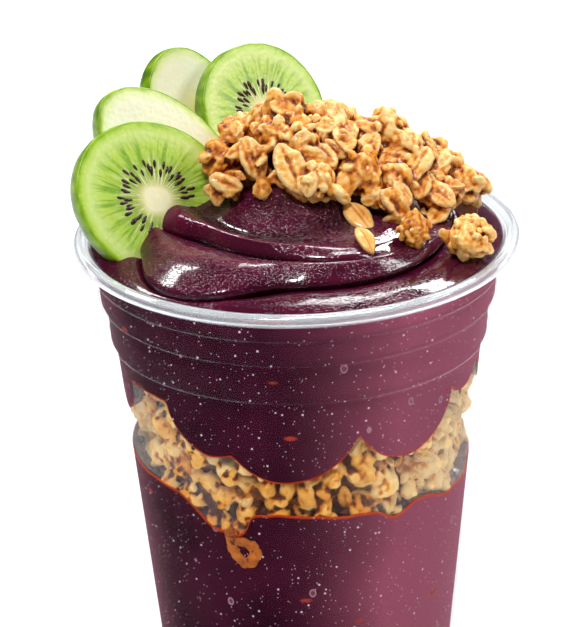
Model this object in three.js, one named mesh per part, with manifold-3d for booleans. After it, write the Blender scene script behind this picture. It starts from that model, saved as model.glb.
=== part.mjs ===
// A layered acai cup: a clear stepped tumbler holding acai, a band of granola and more acai,
// topped with a folded swirl, four kiwi slices, a heap of granola clusters and a few loose ones.
// Millimetres, +Z up. The origin is the centre of the base and the front faces -Y.
// Azimuths are in degrees from the front and grow towards +X. Heights of the filling and of the
// toppings are given from the top of the rim, as a person who fills such a cup sees them.

import * as THREE from "three";
import { mergeVertices } from "three/addons/utils/BufferGeometryUtils.js";
import Module from "manifold-3d";

const wasm = await Module();
wasm.setup();

// ---------------------------------------------------------------- driving dimensions

const GAP = 0.3; // between pieces that touch
const TURN_STEPS = 36; // facets round the cup and its filling

const CUP = {
  height: 120,
  baseRadius: 32,
  heel: 1.4, // bevel between base and side
  wall: 0.7,
  floor: 1.0,
  innerHeel: 3, // height above the base at which the side turns in to the floor
};
// Straight bands of the side under the rim: depth below the rim and outer radius at both ends.
const BANDS = [
  { from: 3.0, to: 7.5, top: 45.2, bottom: 45.0 },
  { from: 8.1, to: 13.5, top: 44.4, bottom: 44.1 },
  { from: 14.3, to: 22.7, top: 42.8, bottom: 42.3 },
  { from: 23.9, to: CUP.height, top: 41.2, bottom: CUP.baseRadius },
];
// The rolled bead, from the side up over the top to the lip inside: radius and depth.
const BEAD = [
  [47.9, 3.0],
  [48.7, 2.3],
  [49.0, 1.5],
  [48.7, 0.6],
  [47.6, 0.0],
  [46.4, 0.4],
  [45.5, 1.2],
  [44.7, 2.4],
];

// Where the upper acai ends on the wall: a level, with rounded lobes that run down from it.
const UPPER_EDGE = {
  depth: 28,
  lobes: [
    { azimuth: -5, halfWidth: 24, drop: 15 },
    { azimuth: -29, halfWidth: 17, drop: 10.3 },
    { azimuth: 35, halfWidth: 19, drop: 12 },
    { azimuth: 62, halfWidth: 8, drop: 2.6 },
    { azimuth: -74, halfWidth: 8, drop: 9 },
    { azimuth: 96, halfWidth: 20, drop: 9 },
    { azimuth: 132, halfWidth: 15, drop: 12 },
    { azimuth: 166, halfWidth: 18, drop: 8 },
    { azimuth: 205, halfWidth: 22, drop: 13 },
    { azimuth: 246, halfWidth: 17, drop: 10 },
  ],
};
// Where the lower acai starts on the wall: a slanting level with hollows pressed by the granola.
const LOWER_EDGE = {
  depth: 51.2,
  slant: 2.0,
  hollows: [
    { azimuth: -29, halfWidth: 17, drop: 6.2 },
    { azimuth: 32, halfWidth: 9, drop: 2.4 },
    { azimuth: 57, halfWidth: 13, drop: 2.2 },
    { azimuth: 110, halfWidth: 18, drop: 4.5 },
    { azimuth: 158, halfWidth: 14, drop: 2.5 },
    { azimuth: 214, halfWidth: 20, drop: 5.0 },
  ],
};
const LAYER_CURTAIN = 6; // inset from the wall that the curtains below are measured in
// How an edge at the wall passes over to the layer's inner level: inset in curtains, and share
// of the way that is still the edge's.
const UPPER_CURTAIN = [
  [0, 1],
  [0.3, 0.93],
  [1, 0.35],
  [2, 0],
];
const LOWER_CURTAIN = [
  [0, 1],
  [1, 0.3],
  [2, 0],
];
const UPPER_INNER_DEPTH = 31;
const LOWER_INNER_DEPTH = 53;
const WALL_CORNERS = { above: 2.5, below: 24 }; // depths between which the wall is stepped

// The granola band: crisp pieces round a core, set back from the wall where air shows.
const BAND = {
  seed: 11,
  from: 30, // depth of the first row
  to: 56, // and of the last
  rows: 7,
  pieces: 21, // in each row
  size: 4.4,
  sizeSpread: 0.2,
  jitter: 0.4, // of the distance between pieces
  proud: 0.3, // of a piece, before the core's surface
  clearance: 0.4,
  setback: 2.6, // of the core from the wall
  airGaps: [
    { azimuth: -64, halfWidth: 19, depth: 2.4 },
    { azimuth: 69, halfWidth: 19, depth: 2.4 },
  ],
};

// The swirl on top: a base roll along the rim, a middle fold that hangs over it with a lobe to
// the left, and an upper fold with a ridge under the crown. Radii and heights above the rim.
const CONTACT = { radius: 45.15, height: -1.2 };
const ROLL_CREST = { at: 0.45, height: 0.9, heightAtRise: 0.3 };
const LOW_CREASE = { radius: 34.5, height: -0.2 };
const LOBE = { azimuth: -37, halfWidth: 36, reach: 8.4, drop: 1.5 };
const RISE = { azimuth: 92, halfWidth: 62, pull: 3.0, lift: 1.9, overhang: 1.5, sink: 0.8 };
const MIDDLE_FOLD = { overhang: 1.3, belly: 1.6, shoulder: 3.2, shoulderBack: 1.2, top: 4.65 };
const HIGH_CREASE = { radius: 28, height: 3.7, leftReach: 2, leftLift: 0.8 };
const LEFT_SIDE = { azimuth: -70, halfWidth: 40 };
const RIDGE = { radius: 24.6, height: 7.1, overhang: 0.9, belly: 1.8 };
const CROWN = [
  [19.5, 8.4],
  [14, 11.0],
  [7.5, 13.4],
];
const APEX = 14.8;
// Where the upper fold dies out into the dome, and the heights of its lines there.
const UPPER_FOLD_FADE = {
  azimuth: 74,
  halfWidth: 52,
  crease: 5.6,
  overhang: -1.2,
  belly: 6.1,
  ridge: 6.9,
};
const ROLL_STEPS = 3;
const FOLD_STEPS = 6;
const CROWN_STEPS = 7;
const SWIRL_GROWTH = 0.3; // outwards, of what a grown copy gains upwards

// Kiwi slices: centre of the cut face, the way that face looks, and its half length and half
// width, the length turned in the face by roll. Two are cut across the fruit and two along it.
const KIWI_THICKNESS = 5;
const KIWI_EDGE = 0.5; // rounding between the cut face and the side
const KIWI_DRAFT = 0.2; // that the side draws in towards the back
const KIWI_STEPS = 26;
const KIWIS = [
  { name: "front", at: [-29.8, -6, 10], azimuth: 31, elevation: 28, half: [19.6, 17.2], roll: -36 },
  { name: "side", at: [-26.7, 6.4, 14.5], azimuth: 32, elevation: 29, half: [20.5, 12.8], roll: -55 },
  { name: "end", at: [-21.5, 27.2, 17.2], azimuth: 40, elevation: 21, half: [12.2, 16.8], roll: 13 },
  { name: "back", at: [-6.1, 28.4, 17.1], azimuth: 38, elevation: 28, half: [16.8, 16.8], roll: 0 },
];

// The granola heap: a mound with a ridge from left to right, and the clumps that show on it.
const HEAP = {
  seed: 5,
  from: -22,
  to: 41.5,
  ridgeY: 4,
  front: 17,
  back: 15,
  fall: 13, // from the ridge to the front and back edges
  coreShare: 0.94, // of the way from the ridge to those edges
  cover: 1.9, // of clumps over the core
  coreSteps: [18, 8],
  coreTop: 3, // least height of the core above the rim
  waist: 2, // height at which the core is widest
  belly: 3, // and how far it goes down from there
  fullness: 0.4, // of the core's upper half: 1 is a ball, less is squarer
  fineFrom: 9.4, // size from which a clump has more facets
  clumpFlat: 0.65,
  clumpTip: 0.7,
  sink: 0.3, // of a clump's middle into the mound
  rest: 0.25, // of its size that a clump's middle keeps above the swirl
  smallPieces: 28,
  smallSize: [5, 6.5],
  smallInset: [8, 6], // from the heap's left and right ends
  smallReach: 0.8, // of the way to its front and back
  // across, and height of the clumps' middles on the ridge
  heights: [
    [-20, 13],
    [-12, 20.5],
    [-2, 24.4],
    [9, 23.4],
    [20, 21.3],
    [27, 16.7],
    [33, 12.0],
    [38, 7.6],
    [42, 3],
  ],
};
// Clumps on the mound: across, forward (towards the front is negative) and size.
const CLUMPS = [
  [-15.8, -1, 9.2],
  [-12.3, 5, 8.5],
  [-8.2, -5.5, 9],
  [-3.5, -1, 8.5],
  [-1.5, 5.5, 12],
  [0, -9.5, 10],
  [2.5, -4, 8.5],
  [5.7, -12, 8.5],
  [9, 5.5, 10],
  [11.3, -2, 8],
  [15.5, -8, 9.8],
  [20, 4.5, 9.5],
  [21, -1.5, 7],
  [22.6, -7, 7.5],
  [21.3, -13, 7],
  [25, 1.5, 8],
  [27.5, -2.5, 7.5],
  [33, 5, 8.5],
  [31.5, -4.5, 8.5],
  [38, 4, 8.5],
  [-9, 11.5, 8],
  [1, 14, 9],
  [11, 13.5, 9],
  [20, 13, 9],
  [29, 11, 8.5],
  [36, 10.5, 7],
];
const LOOSE_CLUSTERS = [
  { name: "granola_cluster_large", at: [36.6, -19.2], size: 10.8, seed: 31 },
  { name: "granola_cluster_small", at: [24.6, -20.8], size: 7.4, seed: 32 },
];
// A loose cluster in shares of its size: a heart with knobs round it, resting on the swirl.
const CLUSTER = {
  lift: 0.33,
  heart: 0.74,
  heartFlat: 0.8,
  knobs: 5,
  knob: 0.5,
  knobFlat: 0.85,
  out: 0.3,
  stagger: 0.16,
};
const LOOSE_OATS = [
  { at: [14.6, -13], length: 9.2, width: 4.3, thickness: 1.5, turn: -52 },
  { at: [14.2, -25.2], length: 7.0, width: 3.0, thickness: 2.2, turn: -62 },
];

const OAT = { tip: 14, lift: 0.3, steps: [10, 6] }; // tip in degrees, lift in thicknesses
// Crisp crumbs: how far their corners swell, and how flat they are.
const CRUMB = { leastSwell: 0.84, mostSwell: 1.16, flat: 0.75, sideFlattening: 0.2 };

const COLOURS = {
  cup: 0xdfe4e6,
  acai: 0x4a1230,
  granola: 0xd9a25a,
  kiwi: 0xa6c93c,
};

// ---------------------------------------------------------------- small helpers

const radians = THREE.MathUtils.degToRad;
const mix = THREE.MathUtils.lerp;

// A repeatable stream of numbers from 0 to 1.
function randomStream(seed) {
  let state = seed;
  return () => {
    state = (state + 0x6d2b79f5) | 0;
    let t = Math.imul(state ^ (state >>> 15), 1 | state);
    t = (t + Math.imul(t ^ (t >>> 7), 61 | t)) ^ t;
    return ((t ^ (t >>> 14)) >>> 0) / 4294967296;
  };
}

// Degrees between two azimuths, from 0 to 180.
function angleBetween(a, b) {
  const d = Math.abs(a - b) % 360;
  return d > 180 ? 360 - d : d;
}

// 1 at the centre of a stretch of azimuths, easing to 0 at its ends.
function swell(azimuth, { azimuth: centre, halfWidth }) {
  const t = angleBetween(azimuth, centre) / halfWidth;
  return t < 1 ? Math.cos((t * Math.PI) / 2) ** 2 : 0;
}

// A round-bottomed lobe: 1 at its centre, with steep flanks.
function lobe(azimuth, { azimuth: centre, halfWidth }) {
  const t = angleBetween(azimuth, centre) / halfWidth;
  return t < 1 ? (1 - t * t) ** 0.6 : 0;
}

function interpolate(x, rows) {
  if (x <= rows[0][0]) return rows[0][1];
  for (let i = 1; i < rows.length; i++) {
    const [x0, y0] = rows[i - 1];
    const [x1, y1] = rows[i];
    if (x <= x1) return mix(y0, y1, (x - x0) / (x1 - x0));
  }
  return rows.at(-1)[1];
}

function solidOf(geometry) {
  const bare = geometry.clone();
  bare.deleteAttribute("normal");
  bare.deleteAttribute("uv");
  const merged = mergeVertices(bare, 1e-4);
  return new wasm.Manifold(
    new wasm.Mesh({
      numProp: 3,
      vertProperties: new Float32Array(merged.attributes.position.array),
      triVerts: new Uint32Array(merged.index.array),
    }),
  );
}

function geometryOf(solid) {
  const { vertProperties, triVerts } = solid.getMesh();
  const geometry = new THREE.BufferGeometry();
  geometry.setAttribute("position", new THREE.BufferAttribute(vertProperties, 3));
  geometry.setIndex(new THREE.BufferAttribute(triVerts, 1));
  geometry.computeVertexNormals();
  return geometry;
}

// The largest body of a cut solid: loose scraps are dropped.
function mainBody(solid) {
  return solid.decompose().reduce((a, b) => (b.volume() > a.volume() ? b : a));
}

// A turned body whose section may change with the azimuth. Each section runs from the axis at
// the bottom, out and up, back to the axis, and all sections have the same number of points.
function turned(sectionAt, steps = TURN_STEPS) {
  const geometry = new THREE.LatheGeometry(sectionAt(0), steps);
  const position = geometry.attributes.position;
  const count = position.count / (steps + 1);
  for (let i = 0; i <= steps; i++) {
    const angle = ((i % steps) / steps) * 2 * Math.PI;
    const section = sectionAt(THREE.MathUtils.radToDeg(angle));
    for (let j = 0; j < count; j++) {
      const { x: radius, y: height } = section[j];
      position.setXYZ(
        i * count + j,
        radius * Math.sin(angle),
        -radius * Math.cos(angle),
        height,
      );
    }
  }
  return geometry;
}

// ---------------------------------------------------------------- cup

const sideOuter = [
  ...BANDS.flatMap(({ from, to, top, bottom }) => [
    [from, top],
    [to, bottom],
  ]),
];

// Outer and inner radius of the side at a depth below the rim.
const outerRadius = (depth) => interpolate(depth, sideOuter);
const lipInner = BEAD.slice(5).map(([radius, depth]) => [depth, radius]);
const innerWall = [
  ...lipInner,
  [3.4, outerRadius(3.4) - CUP.wall],
  ...sideOuter.slice(1).map(([depth, radius]) => [depth, radius - CUP.wall]),
];
const innerRadius = (depth) => interpolate(depth, innerWall);

function cupSection() {
  const top = CUP.height;
  const outside = [
    [0, 0],
    [CUP.baseRadius - CUP.heel, 0],
    [outerRadius(top - CUP.heel), CUP.heel],
    ...sideOuter.slice(0, -1).reverse().map(([depth, radius]) => [radius, top - depth]),
    ...BEAD.map(([radius, depth]) => [radius, top - depth]),
  ];
  const inside = innerWall
    .filter(([depth]) => depth > lipInner.at(-1)[0] && depth < top - CUP.floor)
    .map(([depth, radius]) => [radius, top - depth]);
  const floor = [
    [innerRadius(top - CUP.floor) - CUP.heel, CUP.floor],
    [0, CUP.floor],
  ];
  const heel = [innerRadius(top - CUP.innerHeel), CUP.innerHeel];
  return [...outside, ...inside, heel, ...floor].map(
    ([radius, height]) => new THREE.Vector2(radius, height),
  );
}

// ---------------------------------------------------------------- filling

// The filling's radius at a depth below the rim, with room left to the wall.
const fillRadius = (depth) => innerRadius(depth) - GAP;

const upperEdgeDepth = (azimuth) =>
  UPPER_EDGE.depth +
  Math.max(0, ...UPPER_EDGE.lobes.map((l) => l.drop * lobe(azimuth, l)));

const lowerEdgeDepth = (azimuth) =>
  LOWER_EDGE.depth +
  LOWER_EDGE.slant * Math.sin(radians(azimuth)) +
  Math.max(0, ...LOWER_EDGE.hollows.map((h) => h.drop * swell(azimuth, h)));

// Underside of the upper acai and top of the lower acai, at a distance in from the wall.
const upperBottomDepth = (azimuth, inset) =>
  mix(
    UPPER_INNER_DEPTH,
    upperEdgeDepth(azimuth),
    interpolate(inset / LAYER_CURTAIN, UPPER_CURTAIN),
  );
const lowerTopDepth = (azimuth, inset) =>
  mix(
    LOWER_INNER_DEPTH,
    lowerEdgeDepth(azimuth),
    interpolate(inset / LAYER_CURTAIN, LOWER_CURTAIN),
  );
const insetsOf = (curtain) => curtain.map(([share]) => share * LAYER_CURTAIN);

// Points up the side of the upper acai, with the wall's steps in it.
function fillSide(grow) {
  return innerWall
    .map(([depth]) => depth)
    .filter((depth) => depth > WALL_CORNERS.above && depth < WALL_CORNERS.below)
    .map((depth) => new THREE.Vector2(fillRadius(depth) + grow, CUP.height - depth))
    .reverse();
}

// The swirl's outline at an azimuth, from the wall to the apex.
function swirlOutline(azimuth, grow) {
  const side = swell(azimuth, LOBE);
  const rise = swell(azimuth, RISE);
  const fold = 1 - swell(azimuth, UPPER_FOLD_FADE);
  const r1 = LOW_CREASE.radius + LOBE.reach * side - RISE.pull * rise;
  const z1 = LOW_CREASE.height - LOBE.drop * side + RISE.lift * rise;
  const left = swell(azimuth, LEFT_SIDE);
  const r2 = HIGH_CREASE.radius + HIGH_CREASE.leftReach * left;
  const z2 = mix(UPPER_FOLD_FADE.crease, HIGH_CREASE.height + HIGH_CREASE.leftLift * side, fold);
  const crest = mix(ROLL_CREST.height, ROLL_CREST.heightAtRise, rise);
  const overhang = MIDDLE_FOLD.overhang + RISE.overhang * rise;
  const roll = new THREE.SplineCurve([
    new THREE.Vector2(CONTACT.radius, CONTACT.height),
    new THREE.Vector2(
      mix(CONTACT.radius, r1, ROLL_CREST.at),
      mix(CONTACT.height, z1, 0.5) + crest,
    ),
    new THREE.Vector2(r1, z1),
  ]);
  const middle = new THREE.SplineCurve([
    new THREE.Vector2(r1, z1),
    new THREE.Vector2(r1 + overhang, z1 + MIDDLE_FOLD.belly),
    new THREE.Vector2(
      r1 + overhang - MIDDLE_FOLD.shoulderBack,
      z1 + MIDDLE_FOLD.shoulder - RISE.sink * rise,
    ),
    new THREE.Vector2(mix(r1, r2, 0.5), MIDDLE_FOLD.top),
    new THREE.Vector2(r2, z2),
  ]);
  const crown = new THREE.SplineCurve([
    new THREE.Vector2(r2, z2),
    new THREE.Vector2(
      r2 + mix(UPPER_FOLD_FADE.overhang, RIDGE.overhang, fold),
      mix(UPPER_FOLD_FADE.belly, z2 + RIDGE.belly, fold),
    ),
    new THREE.Vector2(RIDGE.radius, mix(UPPER_FOLD_FADE.ridge, RIDGE.height, fold)),
    ...CROWN.map(([radius, height]) => new THREE.Vector2(radius, height)),
    new THREE.Vector2(0, APEX),
  ]);
  const points = [
    ...roll.getPoints(ROLL_STEPS).slice(0, -1),
    ...middle.getPoints(FOLD_STEPS).slice(0, -1),
    ...crown.getPoints(CROWN_STEPS),
  ];
  points.at(-1).x = 0;
  return points.map(
    ({ x, y }) =>
      new THREE.Vector2(x === 0 ? 0 : x + SWIRL_GROWTH * grow, CUP.height + y + grow),
  );
}

// Upper acai: flat inside at its lower level, with lobes down the wall and the swirl on top.
function upperAcaiSection(azimuth, grow = 0) {
  const wall = fillRadius(upperEdgeDepth(azimuth)) + grow;
  const insets = insetsOf(UPPER_CURTAIN).reverse();
  const bottom = (inset) => CUP.height - upperBottomDepth(azimuth, inset) - grow;
  return [
    new THREE.Vector2(0, bottom(insets[0])),
    ...insets.map((inset) => new THREE.Vector2(wall - inset, bottom(inset))),
    ...fillSide(grow),
    ...swirlOutline(azimuth, grow),
  ];
}

// Lower acai: fills the cup up to the edge that shows, a little lower towards the middle.
function lowerAcaiSection(azimuth, grow = 0) {
  const bottom = CUP.floor + GAP;
  const heel = 2 * CUP.heel;
  const edge = lowerEdgeDepth(azimuth);
  const wall = fillRadius(edge);
  const insets = insetsOf(LOWER_CURTAIN);
  const top = (inset) => CUP.height - lowerTopDepth(azimuth, inset) + grow;
  return [
    new THREE.Vector2(0, bottom),
    new THREE.Vector2(fillRadius(CUP.height - bottom) - heel, bottom),
    new THREE.Vector2(fillRadius(CUP.height - bottom - heel), bottom + heel),
    ...insets.map((inset) => new THREE.Vector2(wall + grow - inset, top(inset))),
    new THREE.Vector2(0, top(insets[2])),
  ];
}

// ---------------------------------------------------------------- granola

// A lumpy crisp piece: a ball of few sides with uneven corners, flattened and tipped a little.
function crumb(random, size, detail, flat = CRUMB.flat, tip = Math.PI) {
  const ball = new THREE.IcosahedronGeometry(size / 2, detail);
  ball.deleteAttribute("normal");
  ball.deleteAttribute("uv");
  const geometry = mergeVertices(ball, 1e-3);
  const position = geometry.attributes.position;
  for (let i = 0; i < position.count; i++) {
    const swelling = mix(CRUMB.leastSwell, CRUMB.mostSwell, random());
    position.setXYZ(
      i,
      position.getX(i) * swelling,
      position.getY(i) * swelling * mix(1, flat, CRUMB.sideFlattening),
      position.getZ(i) * swelling * flat,
    );
  }
  const lean = () => tip * (random() - 0.5);
  const turn = new THREE.Euler(lean(), lean(), 2 * Math.PI * random(), "XYZ");
  return geometry.applyMatrix4(new THREE.Matrix4().makeRotationFromEuler(turn));
}

// How far the band's surface stands back from the wall.
const bandSetback = (azimuth) =>
  BAND.setback + Math.max(...BAND.airGaps.map((gap) => gap.depth * swell(azimuth, gap)));

// The band's core fills the room between the two acai layers, short of the wall.
function bandCoreSection(azimuth) {
  const insets = [2 * LAYER_CURTAIN, LAYER_CURTAIN, bandSetback(azimuth)];
  const lowWall = fillRadius(lowerEdgeDepth(azimuth));
  const highWall = fillRadius(upperEdgeDepth(azimuth));
  const low = (inset) => CUP.height - lowerTopDepth(azimuth, inset) + BAND.clearance;
  const high = (inset) => CUP.height - upperBottomDepth(azimuth, inset) - BAND.clearance;
  return [
    new THREE.Vector2(0, low(insets[0])),
    ...insets.map((inset) => new THREE.Vector2(lowWall - inset, low(inset))),
    ...insets.reverse().map((inset) => new THREE.Vector2(highWall - inset, high(inset))),
    new THREE.Vector2(0, high(insets[2])),
  ];
}

// Whole pieces only: one that would come nearer than the gap to a neighbour is left out.
function granolaBand(neighbours, cutters) {
  const random = randomStream(BAND.seed);
  const core = solidOf(turned(bandCoreSection));
  const parts = [cutters.reduce((left, cutter) => left.subtract(cutter), core)];
  for (let row = 0; row < BAND.rows; row++) {
    for (let k = 0; k < BAND.pieces; k++) {
      const across = k + 0.5 * (row % 2) + BAND.jitter * random();
      const azimuth = (across * 360) / BAND.pieces;
      const down = (row + BAND.jitter * random()) / (BAND.rows - 1);
      const depth = mix(BAND.from, BAND.to, down);
      const size = BAND.size * mix(1 - BAND.sizeSpread, 1 + BAND.sizeSpread, random());
      const inset = Math.max(
        0.5 * CRUMB.mostSwell * size,
        bandSetback(azimuth) - BAND.proud * size,
      );
      const radius = fillRadius(depth) - inset;
      const turn = radians(azimuth);
      const at = [radius * Math.sin(turn), -radius * Math.cos(turn), CUP.height - depth];
      const piece = solidOf(crumb(random, size, 0));
      const room = piece.scale(1 + (2 * GAP) / size).translate(at);
      if (neighbours.some((other) => !other.intersect(room).isEmpty())) continue;
      parts.push(piece.translate(at));
    }
  }
  return mainBody(wasm.Manifold.union(parts));
}

// Height of the heap's mound above the rim.
function moundHeight(x, y) {
  const ridge = interpolate(x, HEAP.heights);
  const reach = y < HEAP.ridgeY ? HEAP.front : HEAP.back;
  return ridge - HEAP.fall * ((y - HEAP.ridgeY) / reach) ** 2;
}

// Height of the swirl above the rim, along the straight way out from the axis.
function swirlHeight(x, y) {
  const azimuth = THREE.MathUtils.radToDeg(Math.atan2(x, -y));
  const outline = swirlOutline(azimuth, 0);
  const radius = Math.hypot(x, y);
  let height = -Infinity;
  for (let i = 1; i < outline.length; i++) {
    const [a, b] = [outline[i - 1], outline[i]];
    const t = (radius - a.x) / (b.x - a.x);
    if (t >= 0 && t <= 1) height = Math.max(height, mix(a.y, b.y, t));
  }
  return height - CUP.height;
}

function granolaHeap(acaiCutter, kiwiCutters) {
  const random = randomStream(HEAP.seed);
  const mound = new THREE.SphereGeometry(1, ...HEAP.coreSteps);
  const position = mound.attributes.position;
  const centre = (HEAP.from + HEAP.to) / 2;
  const half = (HEAP.to - HEAP.from) / 2;
  for (let i = 0; i < position.count; i++) {
    const x = centre + half * position.getX(i);
    const side = position.getY(i) < 0 ? HEAP.front : HEAP.back;
    const y = HEAP.ridgeY + HEAP.coreShare * side * position.getY(i);
    const up = position.getZ(i);
    const top = Math.max(HEAP.coreTop, moundHeight(x, y) - HEAP.cover);
    const height =
      up > 0 ? mix(HEAP.waist, top, up ** HEAP.fullness) : HEAP.waist + HEAP.belly * up;
    position.setXYZ(i, x, y, CUP.height + height);
  }
  const small = Array.from({ length: HEAP.smallPieces }, () => {
    const [left, right] = HEAP.smallInset;
    const x = mix(HEAP.from + left, HEAP.to - right, random());
    const reach = HEAP.smallReach;
    const y = HEAP.ridgeY + mix(-reach * HEAP.front, reach * HEAP.back, random());
    return [x, y, mix(...HEAP.smallSize, random())];
  });
  const pieces = [...CLUMPS, ...small].map(([x, y, size]) => {
    const detail = size < HEAP.fineFrom ? 0 : 1;
    const clump = crumb(random, size, detail, HEAP.clumpFlat, HEAP.clumpTip);
    const height = Math.max(
      moundHeight(x, y) - HEAP.sink,
      swirlHeight(x, y) + HEAP.rest * size,
    );
    return solidOf(clump.translate(x, y, CUP.height + height));
  });
  let heap = wasm.Manifold.union([solidOf(mound), ...pieces]).subtract(acaiCutter);
  for (const cutter of kiwiCutters) heap = heap.subtract(cutter);
  return mainBody(heap);
}

function looseCluster({ at: [x, y], size, seed }, acaiCutter) {
  const random = randomStream(seed);
  const height = CUP.height + swirlHeight(x, y) + CLUSTER.lift * size;
  const heart = crumb(random, size * CLUSTER.heart, 0, CLUSTER.heartFlat);
  const knobs = [solidOf(heart.translate(x, y, height))];
  for (let k = 0; k < CLUSTER.knobs; k++) {
    const turn = (k * 2 * Math.PI) / CLUSTER.knobs + 0.5 * random();
    const knob = crumb(random, size * CLUSTER.knob, 0, CLUSTER.knobFlat);
    const out = size * CLUSTER.out;
    knob.translate(
      x + out * Math.cos(turn),
      y + out * Math.sin(turn),
      height + size * CLUSTER.stagger * (random() - 0.4),
    );
    knobs.push(solidOf(knob));
  }
  return mainBody(wasm.Manifold.union(knobs).subtract(acaiCutter));
}

function looseOat({ at: [x, y], length, width, thickness, turn }, grow) {
  const oat = new THREE.SphereGeometry(0.5, ...OAT.steps);
  oat.scale(length + 2 * grow, width + 2 * grow, thickness + 2 * grow);
  oat.rotateY(radians(OAT.tip));
  oat.rotateZ(radians(turn));
  oat.translate(x, y, CUP.height + swirlHeight(x, y) + OAT.lift * thickness);
  return solidOf(oat);
}

// ---------------------------------------------------------------- kiwi

function kiwiGeometry({ half: [length, width], roll }, grow = 0) {
  const radius = width + grow;
  const front = grow;
  const back = -KIWI_THICKNESS - grow;
  const edge = KIWI_EDGE;
  const section = [
    [0, back],
    [radius - 2 * edge, back],
    [radius - KIWI_DRAFT, back + 3 * edge],
    [radius, front - 2 * edge],
    [radius - edge, front],
    [0, front],
  ].map(([radial, height]) => new THREE.Vector2(radial, height));
  const slice = turned(() => section, KIWI_STEPS);
  return slice.scale((length + grow) / radius, 1, 1).rotateZ(radians(roll));
}

function placeSlice(object, { at: [x, y, height], azimuth, elevation }) {
  object.position.set(x, y, CUP.height + height);
  object.rotation.set(radians(90 - elevation), 0, radians(azimuth), "ZYX");
  object.updateMatrix();
}

function kiwiCutter(slice) {
  const holder = new THREE.Object3D();
  placeSlice(holder, slice);
  return solidOf(kiwiGeometry(slice, GAP).applyMatrix4(holder.matrix));
}

// ---------------------------------------------------------------- assembly

const materials = {
  cup: new THREE.MeshStandardMaterial({
    color: COLOURS.cup,
    roughness: 0.12,
    metalness: 0,
    transparent: true,
    opacity: 0.35,
  }),
  acai: new THREE.MeshStandardMaterial({ color: COLOURS.acai, roughness: 0.3, metalness: 0 }),
  granola: new THREE.MeshStandardMaterial({ color: COLOURS.granola, roughness: 0.6, metalness: 0 }),
  kiwi: new THREE.MeshStandardMaterial({ color: COLOURS.kiwi, roughness: 0.4, metalness: 0 }),
};

const group = new THREE.Group();

function add(name, geometry, material) {
  const mesh = new THREE.Mesh(geometry, material);
  mesh.name = name;
  group.add(mesh);
  return mesh;
}

const cupProfile = cupSection();
add("cup", turned(() => cupProfile), materials.cup);

const oats = (grow) => LOOSE_OATS.map((oat) => looseOat(oat, grow));
const grownUpper = solidOf(turned((azimuth) => upperAcaiSection(azimuth, GAP)));
const grownLower = solidOf(turned((azimuth) => lowerAcaiSection(azimuth, GAP)));
const acaiCutter = wasm.Manifold.union([
  solidOf(turned((azimuth) => upperAcaiSection(azimuth))),
  grownUpper,
  ...oats(GAP),
]);
const kiwiCutters = KIWIS.map(kiwiCutter);

let upper = solidOf(turned((azimuth) => upperAcaiSection(azimuth)));
upper = wasm.Manifold.union([upper, ...oats(0)]);
for (const cutter of kiwiCutters) upper = upper.subtract(cutter);

const lowerGeometry = turned((azimuth) => lowerAcaiSection(azimuth));
const lower = solidOf(lowerGeometry);
const band = granolaBand([upper, lower], [upper, grownUpper, lower, grownLower]);
add("acai_lower", lowerGeometry, materials.acai);
add("granola_layer", geometryOf(band), materials.granola);
add("acai_upper", geometryOf(mainBody(upper)), materials.acai);

for (const slice of KIWIS) {
  const mesh = add("kiwi_slice_" + slice.name, kiwiGeometry(slice), materials.kiwi);
  placeSlice(mesh, slice);
}

add("granola_heap", geometryOf(granolaHeap(acaiCutter, kiwiCutters)), materials.granola);
for (const cluster of LOOSE_CLUSTERS)
  add(cluster.name, geometryOf(looseCluster(cluster, acaiCutter)), materials.granola);

export default group;
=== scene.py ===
"""A layered acai cup dressed for the camera: clear cup, acai, granola, kiwi slices and toppings."""

import math

import bmesh
import bpy
import numpy as np
from mathutils import Euler, Matrix, Vector
from mathutils.kdtree import KDTree


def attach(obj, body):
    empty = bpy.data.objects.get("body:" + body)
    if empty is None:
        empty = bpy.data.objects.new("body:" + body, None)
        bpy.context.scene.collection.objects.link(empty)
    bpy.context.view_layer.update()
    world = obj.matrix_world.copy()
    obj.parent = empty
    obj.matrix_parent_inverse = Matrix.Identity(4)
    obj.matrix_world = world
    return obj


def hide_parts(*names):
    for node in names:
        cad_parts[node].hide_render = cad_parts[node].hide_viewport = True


bl_info = {
    "name": "Layered Acai Cup",
    "version": (1, 0, 0),
    "blender": (4, 5, 0),
    "location": "View3D > Sidebar > Acai Cup",
    "description": "Builds a layered acai cup with its granola, kiwi slices and studio",
    "category": "Object",
}

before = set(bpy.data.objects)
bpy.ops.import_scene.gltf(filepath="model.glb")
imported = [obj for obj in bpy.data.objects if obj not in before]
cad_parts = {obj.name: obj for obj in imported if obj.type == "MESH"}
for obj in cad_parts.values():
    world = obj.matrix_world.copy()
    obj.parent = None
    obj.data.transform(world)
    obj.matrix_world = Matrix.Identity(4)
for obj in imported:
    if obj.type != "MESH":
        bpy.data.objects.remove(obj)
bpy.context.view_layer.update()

# ------------------------------------------------------------------------------------------
# Sizes of the cup and of what fills it, in millimetres. Depths count down from the rim, which
# is at RIM, and azimuths are degrees from the front (-Y) towards +X.

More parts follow.
